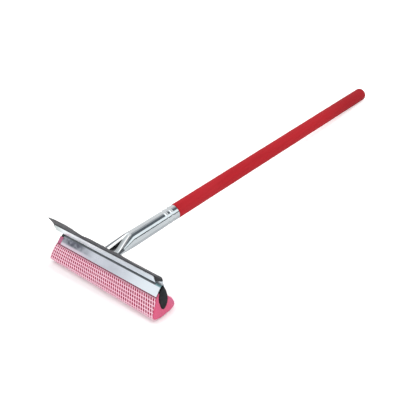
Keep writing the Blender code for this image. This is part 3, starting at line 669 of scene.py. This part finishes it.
def round_corners(corners, radius):
    """The path through these corners, with each inner corner turned into an arc."""
    path = [corners[0]]
    for before, corner, after in zip(corners, corners[1:], corners[2:]):
        into = (corner - before).normalized()
        out = (after - corner).normalized()
        turn = into.angle(out)
        setback = radius * math.tan(turn / 2)
        centre = corner + (out - into).normalized() * (radius / math.cos(turn / 2))
        start = corner - into * setback - centre
        end = corner + out * setback - centre
        for i in range(BEND_RUNS + 1):
            share = i / BEND_RUNS
            arc = start * math.sin((1 - share) * turn) + end * math.sin(share * turn)
            path.append(centre + arc / math.sin(turn))
    path.append(corners[-1])
    return path


def sheet_faces(corners, gauge, bend, side=1):
    """The two faces of a bent sheet; its corners run along its left face, or with side -1 its right."""
    middle = round_corners(offset_path(corners, side * gauge / 2), bend)
    return offset_path(middle, -gauge / 2), offset_path(middle, gauge / 2)


def rounded_ends(middle, length, radius, turns):
    """Places along X where a piece is rounded at both ends, each with the share of the radius cut off."""
    cuts = [(radius * (1 - math.cos(turn)), 1 - math.sin(turn)) for turn in turns]
    left = [(middle - length / 2 + way, cut) for way, cut in cuts]
    right = [(middle + length / 2 - way, cut) for way, cut in reversed(cuts)]
    return left + right


plating = Shader("plated_sheet", Metallic=1.0, Roughness=0.2)
spangle = plating.noise(55, 90, 90, 4.0)
streak = plating.noise(22, 500, 500)
blotch = plating.noise(48, 110, 110, 5.0)
bloom = plating.noise(170, 260, 260, 4.0)
across = plating.place.axis("X")
_, tool_z = plating.tool_axes()
# The skirt's light and shade are painted: it is painted lighter towards its right end and in pale lilac
# along its lower left, and painted shade in blotches darkens its upper left below the rail.
left_share = 1 - across.steps(-0.062, -0.020)
low_share = 1 - tool_z.steps(-0.0062, -0.0044)
shade_blotches = (blotch * 0.6 + bloom * 0.4).steps(0.40, 0.58)
skirt_shade_share = left_share * (1 - low_share * 0.85) * (0.58 + shade_blotches * 0.4)
skirt_colour = plating.layered(
    SKIRT_LIGHT,
    (spangle.steps(0.35, 0.7), SKIRT_DARK),
    (across.steps(0.010, 0.085), SKIRT_RIGHT_PAINTED_LIGHT),
    (left_share * low_share, SKIRT_LOW_LEFT_PAINTED_LIGHT),
    (skirt_shade_share, SKIRT_PAINTED_SHADE),
)
# The crease under the rail is in its own shadow, and its open right end mirrors the blue of the sheet.
past_rail = across.steps(0.0880, 0.0895)
crease_share = tool_z.steps(-0.0010, -0.0005) * (1 - (tool_z + past_rail * 0.0006).steps(0.0008, 0.0013))
sheet_colour = plating.layered(
    RAIL_LIGHT,
    (spangle.steps(0.35, 0.7), RAIL_DARK),
    (1 - across.steps(-0.112, -0.088), RAIL_LEFT),
    (1 - tool_z.steps(-0.0010, 0.0), skirt_colour),
    (crease_share * 0.9, plating.mix(past_rail, CREASE_SHADE, CREASE_RIGHT)),
)
plating.feed("Base Color", sheet_colour)
plating.feed("Roughness", 0.20 + spangle * 0.12 + streak * 0.06 + crease_share * 0.3)
plating.bump(spangle * 0.7 + streak * 0.3, 0.0002, 0.2)
corners = [
    Vector((0, RAIL_TOP_Z)),
    Vector((0, RAIL_LIFT)),
    Vector((RAIL_BACK_Y + RAIL_GAUGE, RAIL_LIFT)),
    Vector((RAIL_BACK_Y + RAIL_GAUGE, RAIL_TOP_Z)),
]
inner, outer = sheet_faces(corners, RAIL_GAUGE, RAIL_BEND, side=-1)
turns = [i / RAIL_CORNER_RUNS * math.pi / 2 for i in range(RAIL_CORNER_RUNS + 1)]
sections = []
for x, cut in rounded_ends(RAIL_SHIFT, RAIL_LENGTH, RAIL_CORNER, turns):
    outline = [point.copy() for point in outer + inner[::-1]]
    outline[0][1] -= RAIL_CORNER * cut
    outline[-1][1] -= RAIL_CORNER * cut
    sections.append([(x, *point) for point in outline])
lofted_piece("rail_channel", sections, plating, "blade_rail")

# The front jaw plate
# A plated sheet creased under the rail. Its web is welded behind the rail, and its skirt slopes over the
# sponge and grips the net.

JAW_LENGTH = 0.1920
JAW_SHIFT = 0.0012
JAW_GAUGE = 0.0005
JAW_BEND = 0.0007
JAW_TOP = 0.0080
JAW_RUNS = 96
FRONT_JAW_Y = 0.0037
SKIRT_WIDTH = 0.01175
SKIRT_SLOPE = math.radians(39.6)
skirt_along = Vector((-math.cos(SKIRT_SLOPE), -math.sin(SKIRT_SLOPE)))
corners = [
    skirt_along * SKIRT_WIDTH,
    Vector((0, 0)),
    Vector((FRONT_JAW_Y, RAIL_LIFT - SEAT_GAP)),
    Vector((FRONT_JAW_Y, JAW_TOP)),
]
upper_face, lower_face = sheet_faces(corners, JAW_GAUGE, JAW_BEND)
sections = []
for i in range(JAW_RUNS + 1):
    x = JAW_SHIFT - JAW_LENGTH / 2 + JAW_LENGTH * i / JAW_RUNS
    sections.append([(x, *point) for point in upper_face + lower_face[::-1]])
lofted_piece("front_jaw", sections, plating, "front_jaw_plate")

# The back jaw plate
# The plate behind, of the same plated sheet. It stands upright at the rail, is stepped back for the core,
# and has a tongue in its middle that carries the socket.

BACK_JAW_LENGTH = 0.1866
BACK_SKIRT_Y = 0.00535
BACK_SKIRT_DEPTH = 0.0085
BACK_JAW_Y = 0.0045
BACK_JOGGLE = 0.0016
TONGUE_WIDTH = 0.0540
TONGUE_RISE = 0.0016
TONGUE_SIDE = 0.0020
corners = [
    Vector((BACK_SKIRT_Y, -BACK_SKIRT_DEPTH)),
    Vector((BACK_SKIRT_Y, 0)),
    Vector((BACK_JAW_Y, BACK_JOGGLE)),
    Vector((BACK_JAW_Y, JAW_TOP)),
]
front_face, rear_face = sheet_faces(corners, JAW_GAUGE, JAW_BEND)
half = TONGUE_WIDTH / 2
sections = []
for x, rise in (
    (JAW_SHIFT - BACK_JAW_LENGTH / 2, 0.0),
    (-half - TONGUE_SIDE, 0.0),
    (-half, TONGUE_RISE),
    (half, TONGUE_RISE),
    (half + TONGUE_SIDE, 0.0),
    (JAW_SHIFT + BACK_JAW_LENGTH / 2, 0.0),
):
    outline = [point.copy() for point in front_face + rear_face[::-1]]
    outline[len(front_face) - 1][1] += rise
    outline[len(front_face)][1] += rise
    sections.append([(x, *point) for point in outline])
lofted_piece("back_jaw", sections, plating, "back_jaw_plate")

# The rivets
# Two steel rivets, hammered flat, hold the socket's tab to the back jaw plate. They keep their solids and
# get the socket's plating.

for name in ("rivet_left", "rivet_right"):
    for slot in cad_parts[name].material_slots:
        slot.material = steel_shine.material

# The core strip
# A leaf shaped strip, moulded of matt black plastic and blunt at its foot. The sponge is threaded on it,
# and its end shows at the right.

CORE_LENGTH = 0.2024
CORE_SHIFT = -0.0020
CORE_DEPTH = 0.0259
CORE_THICKNESS = 0.0106
CORE_SKEW = 0.25
CORE_FOOT_BLUNT = 0.4
CORE_TIP_BLUNT = 0.2
CORE_TIP = Vector((0.58 * BACK_JAW_Y, -0.0009))
CORE_LEAN = 0.345 * (math.pi / 2 - SKIRT_SLOPE)
CORE_STEPS = 24
CORE_ROUNDING = 0.0006
CORE_TURNS = (0, 0.5, 1.0, math.pi / 2)
CORE_BLACK = (0.008, 0.009, 0.011, 1)
CORE_SCUFFED = (0.017, 0.019, 0.022, 1)
core_down = Vector((-math.sin(CORE_LEAN), -math.cos(CORE_LEAN)))
core_back = Vector((math.cos(CORE_LEAN), -math.sin(CORE_LEAN)))


def core_flank(side):
    """One side of the leaf from its upper tip to its foot: side is -1 in front and 1 behind."""
    points = []
    for i in range(CORE_STEPS + 1):
        share = i / CORE_STEPS
        fullness = 4 * share * (1 - share) * (1 - side * CORE_SKEW * (1 - 2 * share))
        below = max(0.0, 2 * share - 1)
        above = max(0.0, 1 - 2 * share)
        fullness **= 1 - CORE_FOOT_BLUNT * below - CORE_TIP_BLUNT * above
        sideways = core_back * (side * CORE_THICKNESS / 2 * fullness)
        points.append(CORE_TIP + core_down * (share * CORE_DEPTH) + sideways)
    return points


core = Shader("matt_black_core", Roughness=0.6, Specular_IOR_Level=0.2)
scuff = core.noise(120, 200, 200, 4.0)
core.feed("Base Color", core.mix(scuff.steps(0.3, 0.75), CORE_BLACK, CORE_SCUFFED))
core.feed("Roughness", 0.42 + scuff * 0.25)
core.bump(scuff, 0.0004, 0.3)
leaf = core_flank(-1) + core_flank(1)[-2:0:-1]
middle = CORE_TIP + core_down * (0.5 * CORE_DEPTH)
sections = []
for x, cut in rounded_ends(CORE_SHIFT, CORE_LENGTH, CORE_ROUNDING, CORE_TURNS):
    outline = [point + (middle - point).normalized() * (CORE_ROUNDING * cut) for point in leaf]
    sections.append([(x, *point) for point in outline])
lofted_piece("core_leaf", sections, core, "core_strip", sharp=30)

# The sponge
# Open pink foam, cut off flat at both ends, pinched under the jaws and bulging below them, and pressed flat
# where it rests on the floor.

SPONGE_LENGTH = 0.2008
SPONGE_SHIFT = -0.0022
SPONGE_SLANT = 0.0135
SPONGE_SLANT_DROP = 0.0075
SPONGE_SLANT_POWER = 0.6
SPONGE_WIDTH = 0.0312
SPONGE_DEPTH = 0.0344
SPONGE_FORWARD = 0.0051
SPONGE_BACK_WALL = 0.0022
NET_THICKNESS = 0.0006
LOBE_TOP = 0.0022
LOBE_SWELL = 0.0002
FOAM_LIP = 0.0010
GUIDE_STEPS = 12
# The netted sponge's outline below the jaws: shares of the half width and of the depth, front to back.
BELLY = (
    (-0.340, 0.308),
    (-0.718, 0.570),
    (-0.949, 0.756),
    (-0.994, 0.831),
    (-0.910, 0.901),
    (-0.673, 0.956),
    (-0.212, 0.997),
    (0.256, 0.994),
    (0.686, 0.953),
    (0.985, 0.878),
    (1.055, 0.785),
    (1.010, 0.680),
    (0.870, 0.535),
)
FOAM_DEEP = (0.700, 0.094, 0.200, 1)
FOAM_PALE = (0.650, 0.120, 0.235, 1)
FOAM_REAR = (0.610, 0.140, 0.265, 1)
FOAM_BARE = (0.530, 0.150, 0.270, 1)
FOAM_SHADED_UNDER_NET = (0.460, 0.012, 0.080, 1)
FOAM_PORE = (0.46, 0.050, 0.13, 1)
FOAM_VOXEL = 0.0007
PIT_SIZE = 0.0014
PIT_DEPTH = 0.0005


def smooth_curve(points, steps):
    """A soft curve through all of the points, with this many steps from each to the next."""
    ends = [2 * points[0] - points[1], *points, 2 * points[-1] - points[-2]]
    curve = []
    for a, b, c, d in zip(ends, ends[1:], ends[2:], ends[3:]):
        for i in range(steps):
            t = i / steps
            curve.append(
                b
                + (c - a) * (t / 2)
                + (a * 2 - b * 5 + c * 4 - d) * (t * t / 2)
                + (b * 3 - a - c * 3 + d) * (t * t * t / 2)
            )
    curve.append(points[-1])
    return curve


def above_floor(points):
    """The points pressed up onto the floor, which is a plane through the tool's rest line."""
    pressed = []
    for y, z in points:
        low = LIE_SINE * y - lie_cosine * z - LIE_SHIFT_Z
        if low > 0:
            y, z = y - LIE_SINE * low, z + lie_cosine * low
        pressed.append(Vector((y, z)))
    return pressed


def sponge_end(side, z):
    """Where the sponge ends at this height: its left end slants outward below the jaws."""
    share = max(0.0, -z - SPONGE_SLANT_DROP) / (SPONGE_DEPTH - SPONGE_SLANT_DROP)
    slant = SPONGE_SLANT * share**SPONGE_SLANT_POWER if side < 0 else 0.0
    return SPONGE_SHIFT + side * SPONGE_LENGTH / 2 - slant


skirt_inward = Vector((math.sin(SKIRT_SLOPE), -math.cos(SKIRT_SLOPE)))
skirt_edge = skirt_along * SKIRT_WIDTH + skirt_inward * (JAW_GAUGE + SEAT_GAP)
rear_low = Vector((BACK_SKIRT_Y - SEAT_GAP, -BACK_SKIRT_DEPTH))
rear_side = core_flank(1)[CORE_STEPS // 2] + core_back * SPONGE_BACK_WALL
belly = [Vector((a * SPONGE_WIDTH / 2 - SPONGE_FORWARD, -b * SPONGE_DEPTH)) for a, b in BELLY]
net_path = above_floor(smooth_curve([skirt_edge, *belly, rear_side, rear_low], GUIDE_STEPS))
foam_path = offset_path(net_path, -NET_THICKNESS - SEAT_GAP)
around = offset_path(core_flank(-1)[1:] + core_flank(1)[-2:0:-1], SEAT_GAP)
# Under the jaw the foam is pinched, and past the jaw's left end it swells out again.
pinched = JAW_GAUGE + 2 * SEAT_GAP
lobe = [
    skirt_along * LOBE_TOP + skirt_inward * pinched,
    skirt_along * (SKIRT_WIDTH - LOBE_TOP) + skirt_inward * (pinched + NET_THICKNESS),
]
swollen = [
    skirt_along * (LOBE_TOP * 0.8) - skirt_inward * LOBE_SWELL,
    skirt_along * (SKIRT_WIDTH - LOBE_TOP / 2) - skirt_inward * LOBE_SWELL,
]
# The foam closes round the core only below both of its upper edges.
rear_depth = (foam_path[-1] - CORE_TIP).dot(core_down)
lobe_depth = (lobe[0] - CORE_TIP).dot(core_down)
inner = []
for point in around:
    way = point - CORE_TIP
    limit = rear_depth if way.dot(core_back) > 0 else lobe_depth
    if way.dot(core_down) > limit + FOAM_LIP:
        inner.append(point)
foam_outline = lobe + foam_path + inner[::-1]
swollen_outline = swollen + foam_path + inner[::-1]
jaw_left = JAW_SHIFT - JAW_LENGTH / 2
foam = Shader("open_foam", Roughness=0.95, Subsurface_Weight=0.12, Subsurface_Scale=0.003)
cell = foam.node("ShaderNodeTexVoronoi", {}, {"Vector": foam.place, "Scale": 1300.0}, out="Distance")
pore = foam.noise(900, 900, 900)
tone = foam.noise(60, 60, 60)
across = foam.place.axis("X")
foam_y, foam_z = foam.tool_axes()
past_jaw = 1 - across.steps(-0.0956, -0.0946)
# Painted shade: the foam under the net, away from both ends, is darker, as the foam in the net's holes lies
# in shadow.
under_net_shade = (2 - past_jaw - foam_z.steps(-0.0085, -0.0075)).clamped()
under_net_shade *= 1 - across.steps(0.0960, 0.0972)
foam_colour = foam.layered(
    FOAM_DEEP,
    (tone.steps(0.3, 0.7), FOAM_PALE),
    (foam_y.steps(0.0, 0.014), FOAM_REAR),
    (past_jaw, FOAM_BARE),
    (under_net_shade, FOAM_SHADED_UNDER_NET),
    (pore.steps(0.55, 0.8) * 0.5, FOAM_PORE),
)
foam.feed("Base Color", foam_colour)
foam.bump(pore * 0.5 + cell * 0.5, 0.0006, 0.6)
sections = [
    [(sponge_end(-1, z), y, z) for y, z in swollen_outline],
    [(jaw_left - SEAT_GAP, y, z) for y, z in swollen_outline],
    [(jaw_left + SEAT_GAP, y, z) for y, z in foam_outline],
    [(sponge_end(1, z), y, z) for y, z in foam_outline],
]
foam_body = lofted_piece("foam_body", sections, foam, "wiping_sponge", sharp=60)
remesh = foam_body.modifiers.new("foam", "REMESH")
remesh.mode = "VOXEL"
remesh.voxel_size = FOAM_VOXEL
pits = bpy.data.textures.new("pits", "CLOUDS")
pits.noise_scale = PIT_SIZE
pits.noise_depth = 2
rough = foam_body.modifiers.new("pits", "DISPLACE")
rough.texture = pits
rough.texture_coords = "LOCAL"
rough.strength = PIT_DEPTH
rough.mid_level = 0.75
foam_body.data = settled_mesh(foam_body)
foam_body.data.shade_smooth()

# The net
# A net knitted of pale pink thread, drawn over the sponge a little askew. The jaws grip it in front and
# behind, and beyond the front jaw's left end the foam above it stays bare.

NET_COLUMNS = 52
NET_ROWS = 21
NET_GRIP = 0.0020
NET_GRIP_STEPS = 4
NET_SKEW = 0.0090
NET_SKEW_FADE = 0.35
NET_INSET = 0.0008
HOLE_WIDTH_SHARE = 0.65
HOLE_HEIGHT_SHARE = 0.83
HOLE_ROUNDNESS = 0.75
CELL_SIDE_POINTS = 4
# Heights of the threads, as shares of the net's thickness, and where between crest and hole the flank lies.
COLUMN_CREST = 1.0
ROW_CREST = 0.72
FLANK_SHARE = 0.84
FLANK_WAY = 0.55
RIM_HEIGHT = 0.40
THREAD_PINK = (1.0, 0.60, 0.73, 1)
THREAD_BLUSH = (1.0, 0.54, 0.68, 1)
THREAD_PALE = (1.0, 0.76, 0.84, 1)
THREAD_SHADED = (0.26, 0.07, 0.12, 1)


def net_cell():
    """One mesh of the net, a unit square with a hole: its crests run along its border."""
    corners = ((-0.5, -0.5), (0.5, -0.5), (0.5, 0.5), (-0.5, 0.5))
    rings = [[], [], [], [], []]
    for (u_from, v_from), (u_to, v_to) in zip(corners, corners[1:] + corners[:1]):
        for i in range(CELL_SIDE_POINTS):
            way = i / CELL_SIDE_POINTS
            u = u_from + (u_to - u_from) * way
            v = v_from + (v_to - v_from) * way
            angle = math.atan2(v, u)
            rim_u = HOLE_WIDTH_SHARE / 2 * math.copysign(abs(math.cos(angle)) ** HOLE_ROUNDNESS, u)
            rim_v = HOLE_HEIGHT_SHARE / 2 * math.copysign(abs(math.sin(angle)) ** HOLE_ROUNDNESS, v)
            crest = COLUMN_CREST if abs(u) == 0.5 else ROW_CREST
            flank_u = u + (rim_u - u) * FLANK_WAY
            flank_v = v + (rim_v - v) * FLANK_WAY
            rings[0].append((u, v, crest))
            rings[1].append((flank_u, flank_v, crest * FLANK_SHARE))
            rings[2].append((rim_u, rim_v, RIM_HEIGHT))
            rings[3].append((rim_u, rim_v, 0.0))
            rings[4].append((u, v, 0.0))
    verts = [point for ring in rings for point in ring]
    mesh = bpy.data.meshes.new("net_cell")
    mesh.from_pydata(verts, [], ring_faces(len(rings[0]), len(verts)))
    return placed("net_cell", mesh)


class Grower(Nodes):
    """A Geometry Nodes tree that makes a piece on a host object. Its inputs are (kind, value) by name."""

    def __init__(self, name, inputs):
        super().__init__(bpy.data.node_groups.new(name, "GeometryNodeTree"))
        self.tree.is_modifier = True
        self.inputs = inputs
        face = self.tree.interface
        face.new_socket("Geometry", in_out="INPUT", socket_type="NodeSocketGeometry")
        for label, (kind, _) in inputs.items():
            face.new_socket(label, in_out="INPUT", socket_type="NodeSocket" + kind)
        face.new_socket("Geometry", in_out="OUTPUT", socket_type="NodeSocketGeometry")
        self.entry = self.tree.nodes.new("NodeGroupInput")
        self.exit = self.tree.nodes.new("NodeGroupOutput")

    def given(self, label):
        return Wire(self, self.entry.outputs[label])

    def vector(self, operation, *values):
        return self.node("ShaderNodeVectorMath", {"operation": operation}, *values)

    def finish(self, geometry, material):
        whole = self.node("GeometryNodeRealizeInstances", {}, {"Geometry": geometry})
        painted = self.node("GeometryNodeSetMaterial", {}, {"Geometry": whole, "Material": material})
        self.tree.links.new(painted.socket, self.exit.inputs[0])

    def grown(self, name, host):
        """The plain mesh that the tree makes on the host."""
        grower = host.modifiers.new(name, "NODES")
        grower.node_group = self.tree
        for item in self.tree.interface.items_tree:
            if item.item_type == "SOCKET" and item.in_out == "INPUT" and item.name in self.inputs:
                grower[item.identifier] = self.inputs[item.name][1]
        made = settled_mesh(host)
        made.name = name
        return made


thread = Shader("pale_thread", Roughness=0.8, Sheen_Weight=0.3)
yarn = thread.noise(500, 1400, 1400)
blush = thread.noise(45, 45, 45)
_, tool_z = thread.tool_axes()
# Along the jaw's edge the net is drawn tight and lies in the edge's shadow.
thread_colour = thread.layered(
    THREAD_PINK,
    (blush.steps(0.3, 0.7), THREAD_BLUSH),
    (yarn.steps(0.45, 0.75) * 0.4, THREAD_PALE),
    (tool_z.steps(-0.0108, -0.0090) * 0.85, THREAD_SHADED),
)
thread.feed("Base Color", thread_colour)
thread.bump(yarn, 0.0003, 0.5)

cell_object = net_cell()
net_left = SPONGE_SHIFT - SPONGE_LENGTH / 2 + NET_INSET
net_right = SPONGE_SHIFT + SPONGE_LENGTH / 2 - NET_INSET
net = Grower(
    "drawn_net",
    {
        "Cell": ("Object", cell_object),
        "Columns": ("Int", NET_COLUMNS),
        "Rows": ("Int", NET_ROWS),
        "Thickness": ("Float", NET_THICKNESS),
        "Left End": ("Float", net_left),
        "Right End": ("Float", net_right),
        "Slant": ("Float", SPONGE_SLANT),
        "Slant Drop": ("Float", SPONGE_SLANT_DROP),
        "Slant Power": ("Float", SPONGE_SLANT_POWER),
        "Depth": ("Float", SPONGE_DEPTH),
        "Skew": ("Float", NET_SKEW),
        "Thread": ("Material", thread.material),
    },
)
columns = net.given("Columns")
rows = net.given("Rows")
grid = net.node(
    "GeometryNodeMeshGrid",
    {},
    {"Size X": columns - 1.0, "Size Y": rows - 1.0, "Vertices X": columns, "Vertices Y": rows},
)
cell_shape = net.node("GeometryNodeObjectInfo", {}, {"Object": net.given("Cell")}, out="Geometry")
cells = net.node("GeometryNodeInstanceOnPoints", {}, {"Points": grid, "Instance": cell_shape})
whole = net.node("GeometryNodeRealizeInstances", {}, {"Geometry": cells})
joined = net.node("GeometryNodeMergeByDistance", {}, {"Geometry": whole, "Distance": 0.01})
flat_place = net.node("GeometryNodeInputPosition", {})
across = flat_place.axis("X") / columns + 0.5
along = flat_place.axis("Y") / rows + 0.5
on_path = net.node(
    "GeometryNodeSampleCurve",
    {"mode": "FACTOR", "use_all_curves": True},
    {"Curves": net.given("Geometry"), "Factor": along},
    out="Position",
)
outward = net.vector("CROSS_PRODUCT", on_path.beside("Tangent"), (1.0, 0.0, 0.0))
outward = net.vector("NORMALIZE", outward)
lift = (flat_place.axis("Z") - 1.0) * net.given("Thickness")
raised = net.node("ShaderNodeVectorMath", {"operation": "SCALE"}, {0: outward, "Scale": lift})
# The net's left end slants outward with the sponge's, and its columns are drawn askew towards the right.
below_jaw = net.maths("MAXIMUM", -on_path.axis("Z") - net.given("Slant Drop"), 0.0)
drop = below_jaw / (net.given("Depth") - net.given("Slant Drop"))
left_x = net.given("Left End") - drop ** net.given("Slant Power") * net.given("Slant")
askew = net.maths("SINE", along * math.pi) * across.steps(0.0, NET_SKEW_FADE) * net.given("Skew")
x = left_x + across * (net.given("Right End") - left_x) + askew
straight = net.node("ShaderNodeCombineXYZ", {}, {"X": x})
place = net.vector("ADD", net.vector("ADD", on_path, straight), raised)
bent = net.node("GeometryNodeSetPosition", {}, {"Geometry": joined, "Position": place})
net.finish(net.node("GeometryNodeSetShadeSmooth", {}, {"Geometry": bent}), net.given("Thread"))

front_grip = [skirt_edge - skirt_along * NET_GRIP, skirt_edge]
guide_points = [*smooth_curve(front_grip, NET_GRIP_STEPS)[:-1], *net_path]
guide = bpy.data.curves.new("net_guide", "CURVE")
guide.dimensions = "3D"
line = guide.splines.new("POLY")
line.points.add(len(guide_points) - 1)
for point, (y, z) in zip(line.points, guide_points):
    point.co = (0, y, z, 1)
guide_object = placed("net_guide", guide)
net_mesh = net.grown("net", guide_object)
bpy.data.objects.remove(guide_object)
bpy.data.objects.remove(cell_object)
bm = bmesh.new()
bm.from_mesh(net_mesh)
bmesh.ops.bridge_loops(bm, edges=[edge for edge in bm.edges if edge.is_boundary])
bmesh.ops.bisect_plane(
    bm,
    geom=[*bm.verts, *bm.edges, *bm.faces],
    plane_co=(net_right, 0, 0),
    plane_no=(1, 0, 0),
    clear_outer=True,
)
bmesh.ops.holes_fill(bm, edges=[edge for edge in bm.edges if edge.is_boundary])
bmesh.ops.recalc_face_normals(bm, faces=bm.faces)
for face in bm.faces:
    face.material_index = 0
bm.to_mesh(net_mesh)
bm.free()
net_mesh.materials.clear()
net_mesh.materials.append(thread.material)
net_mesh.transform(laid)
finished_piece("net", net_mesh, "sponge_net")

# The studio
# A pale floor that glows out to white behind the tool, a white sky, one soft lamp and the camera. Cards
# stand round the set that no camera sees and only the bright metal mirrors.

CAMERA_PLACE = Vector((0.569531, -0.275389, 0.381375))
CAMERA_RIGHT = Vector((0.666547, 0.717921, -0.200760))
CAMERA_FORWARD = Vector((-0.707335, 0.524063, -0.474379))
LENS_PIXELS = 638.53
FRAME_PIXELS = 400
WHITE = (1, 1, 1, 1)
BLACK = (0, 0, 0, 1)
FLOOR_REACH = 6
FRONT_GLOW = 0.13
REAR_GLOW = 0.33
FAR_GLOW = 0.15
CARD_DISTANCE = 1.0
LEFT_CARD_DISTANCE = 0.9
FLOOR_CARD_LIFT = 0.0006
FLOOR_CARD_NEAR_Y = -0.05
FLOOR_CARD_FAR_Y = 0.60
LAMP_PLACE = Vector((0.2, 1.0, 1.5))
LAMP_TARGET = Vector((0, 0.1, 0))
LAMP_SIDE = 2.5
LAMP_POWER = 11
camera_up = CAMERA_RIGHT.cross(CAMERA_FORWARD)
axes = Matrix((CAMERA_RIGHT, camera_up, -CAMERA_FORWARD)).transposed()
camera_data = bpy.data.cameras.new("camera")
camera_data.sensor_width = 36.0
camera_data.lens = LENS_PIXELS / FRAME_PIXELS * camera_data.sensor_width
camera_data.clip_start = 0.01
camera = placed("camera", camera_data)
camera.matrix_world = laid @ Matrix.LocRotScale(CAMERA_PLACE, axes.to_quaternion(), None)
bpy.context.scene.camera = camera


def level_corners(low_x, high_x, low_y, high_y, z):
    return [(low_x, low_y, z), (high_x, low_y, z), (high_x, high_y, z), (low_x, high_y, z)]


def stage_card(name, corners, shader):
    mesh = bpy.data.meshes.new(name)
    mesh.from_pydata(corners, [], [(0, 1, 2, 3)])
    mesh.materials.append(shader.material)
    card = placed(name, mesh)
    return card


floor = Shader("floor", Roughness=0.9, Specular_IOR_Level=0.1, Base_Color=WHITE, Emission_Strength=1.0)
stage_card("floor", level_corners(-FLOOR_REACH, FLOOR_REACH, -FLOOR_REACH, FLOOR_REACH, 0), floor)
rays = ("Is Camera Ray", "Is Glossy Ray", "Is Transmission Ray")
looked_at = sum(floor.node("ShaderNodeLightPath", {}, out=ray) for ray in rays).clamped()
floor_y = floor.place.axis("Y")
floor_x = floor.place.axis("X")
# The floor in front doesn't glow along the head, so that the tool's contact shadow stays.
under_head = (floor_y - floor_x * 0.05).steps(-0.026, -0.020) * (1 - floor_x.steps(0.099, 0.108))
front_glow = FRONT_GLOW - under_head * FRONT_GLOW
rear_glow = floor_y.steps(0.0, 0.06) * REAR_GLOW + floor_y.steps(0.2, 0.4) * FAR_GLOW
floor.feed("Emission Color", floor.mix(looked_at * (front_glow + rear_glow), BLACK, WHITE))

world = bpy.data.worlds.new("studio")
bpy.context.scene.world = world
world.use_nodes = True
world.node_tree.nodes["Background"].inputs["Color"].default_value = WHITE


def mirror_card(name, light, corners):
    """A glowing card that only mirrors show. Its corners are in the tool's own axes."""
    shader = Shader(
        name,
        Roughness=1.0,
        Specular_IOR_Level=0.0,
        Base_Color=BLACK,
        Emission_Color=(*light, 1),
        Emission_Strength=1.0,
    )
    card = stage_card(name, [laid @ Vector(corner) for corner in corners], shader)
    card.visible_camera = False
    card.visible_diffuse = False
    card.visible_shadow = False
    card.visible_transmission = False


def card_beside_tube(name, light, low_angle, high_angle, near_y, far_y, distance=CARD_DISTANCE):
    """A card along the handle, between two angles from straight up towards +X."""
    corners = []
    for angle, y in ((low_angle, near_y), (low_angle, far_y), (high_angle, far_y), (high_angle, near_y)):
        turn = math.radians(angle)
        corners.append((distance * math.sin(turn), y, HANDLE_AXIS_Z + distance * math.cos(turn)))
    mirror_card(name, light, corners)


def card_on_floor(name, light, low_x, high_x):
    """A card flat on the floor, which the tube's lower side mirrors."""
    corners = level_corners(low_x, high_x, FLOOR_CARD_NEAR_Y, FLOOR_CARD_FAR_Y, FLOOR_CARD_LIFT)
    mirror_card(name, light, [laid.inverted() @ Vector(corner) for corner in corners])


card_beside_tube("grey_flag", (0.55, 0.57, 0.59), -16, 6, 0.36, 0.74)
card_beside_tube("dark_flag", (0.16, 0.18, 0.20), 6, 42, 0.36, 0.74)
card_beside_tube("panel", (1.28, 1.36, 1.38), 44, 77.5, -0.10, 1.40)
card_beside_tube("thin_flag", (0.03, 0.04, 0.05), 77.5, 91, -0.10, 1.40)
card_beside_tube("ring_panel", (1.70, 1.74, 1.76), -16, 42, 0.80, 1.40)
card_on_floor("floor_panel", (1.00, 1.02, 1.03), 0.03, 0.60)
card_on_floor("under_panel", (0.74, 0.76, 0.77), -0.08, 0.03)
card_beside_tube("left_flag", (0.10, 0.11, 0.12), -75, -100, 0.16, 0.45, LEFT_CARD_DISTANCE)
card_beside_tube("left_panel", (1.40, 1.42, 1.43), -36, -80, -0.25, 0.14, LEFT_CARD_DISTANCE)

lamp_data = bpy.data.lights.new("key", "AREA")
lamp_data.shape = "RECTANGLE"
lamp_data.size = LAMP_SIDE
lamp_data.size_y = LAMP_SIDE
lamp_data.energy = LAMP_POWER
lamp = placed("key", lamp_data)
lamp.location = LAMP_PLACE
lamp.rotation_euler = (LAMP_TARGET - LAMP_PLACE).to_track_quat("-Z", "Y").to_euler()
lamp.visible_glossy = False

bpy.context.scene.view_settings.view_transform = "Standard"
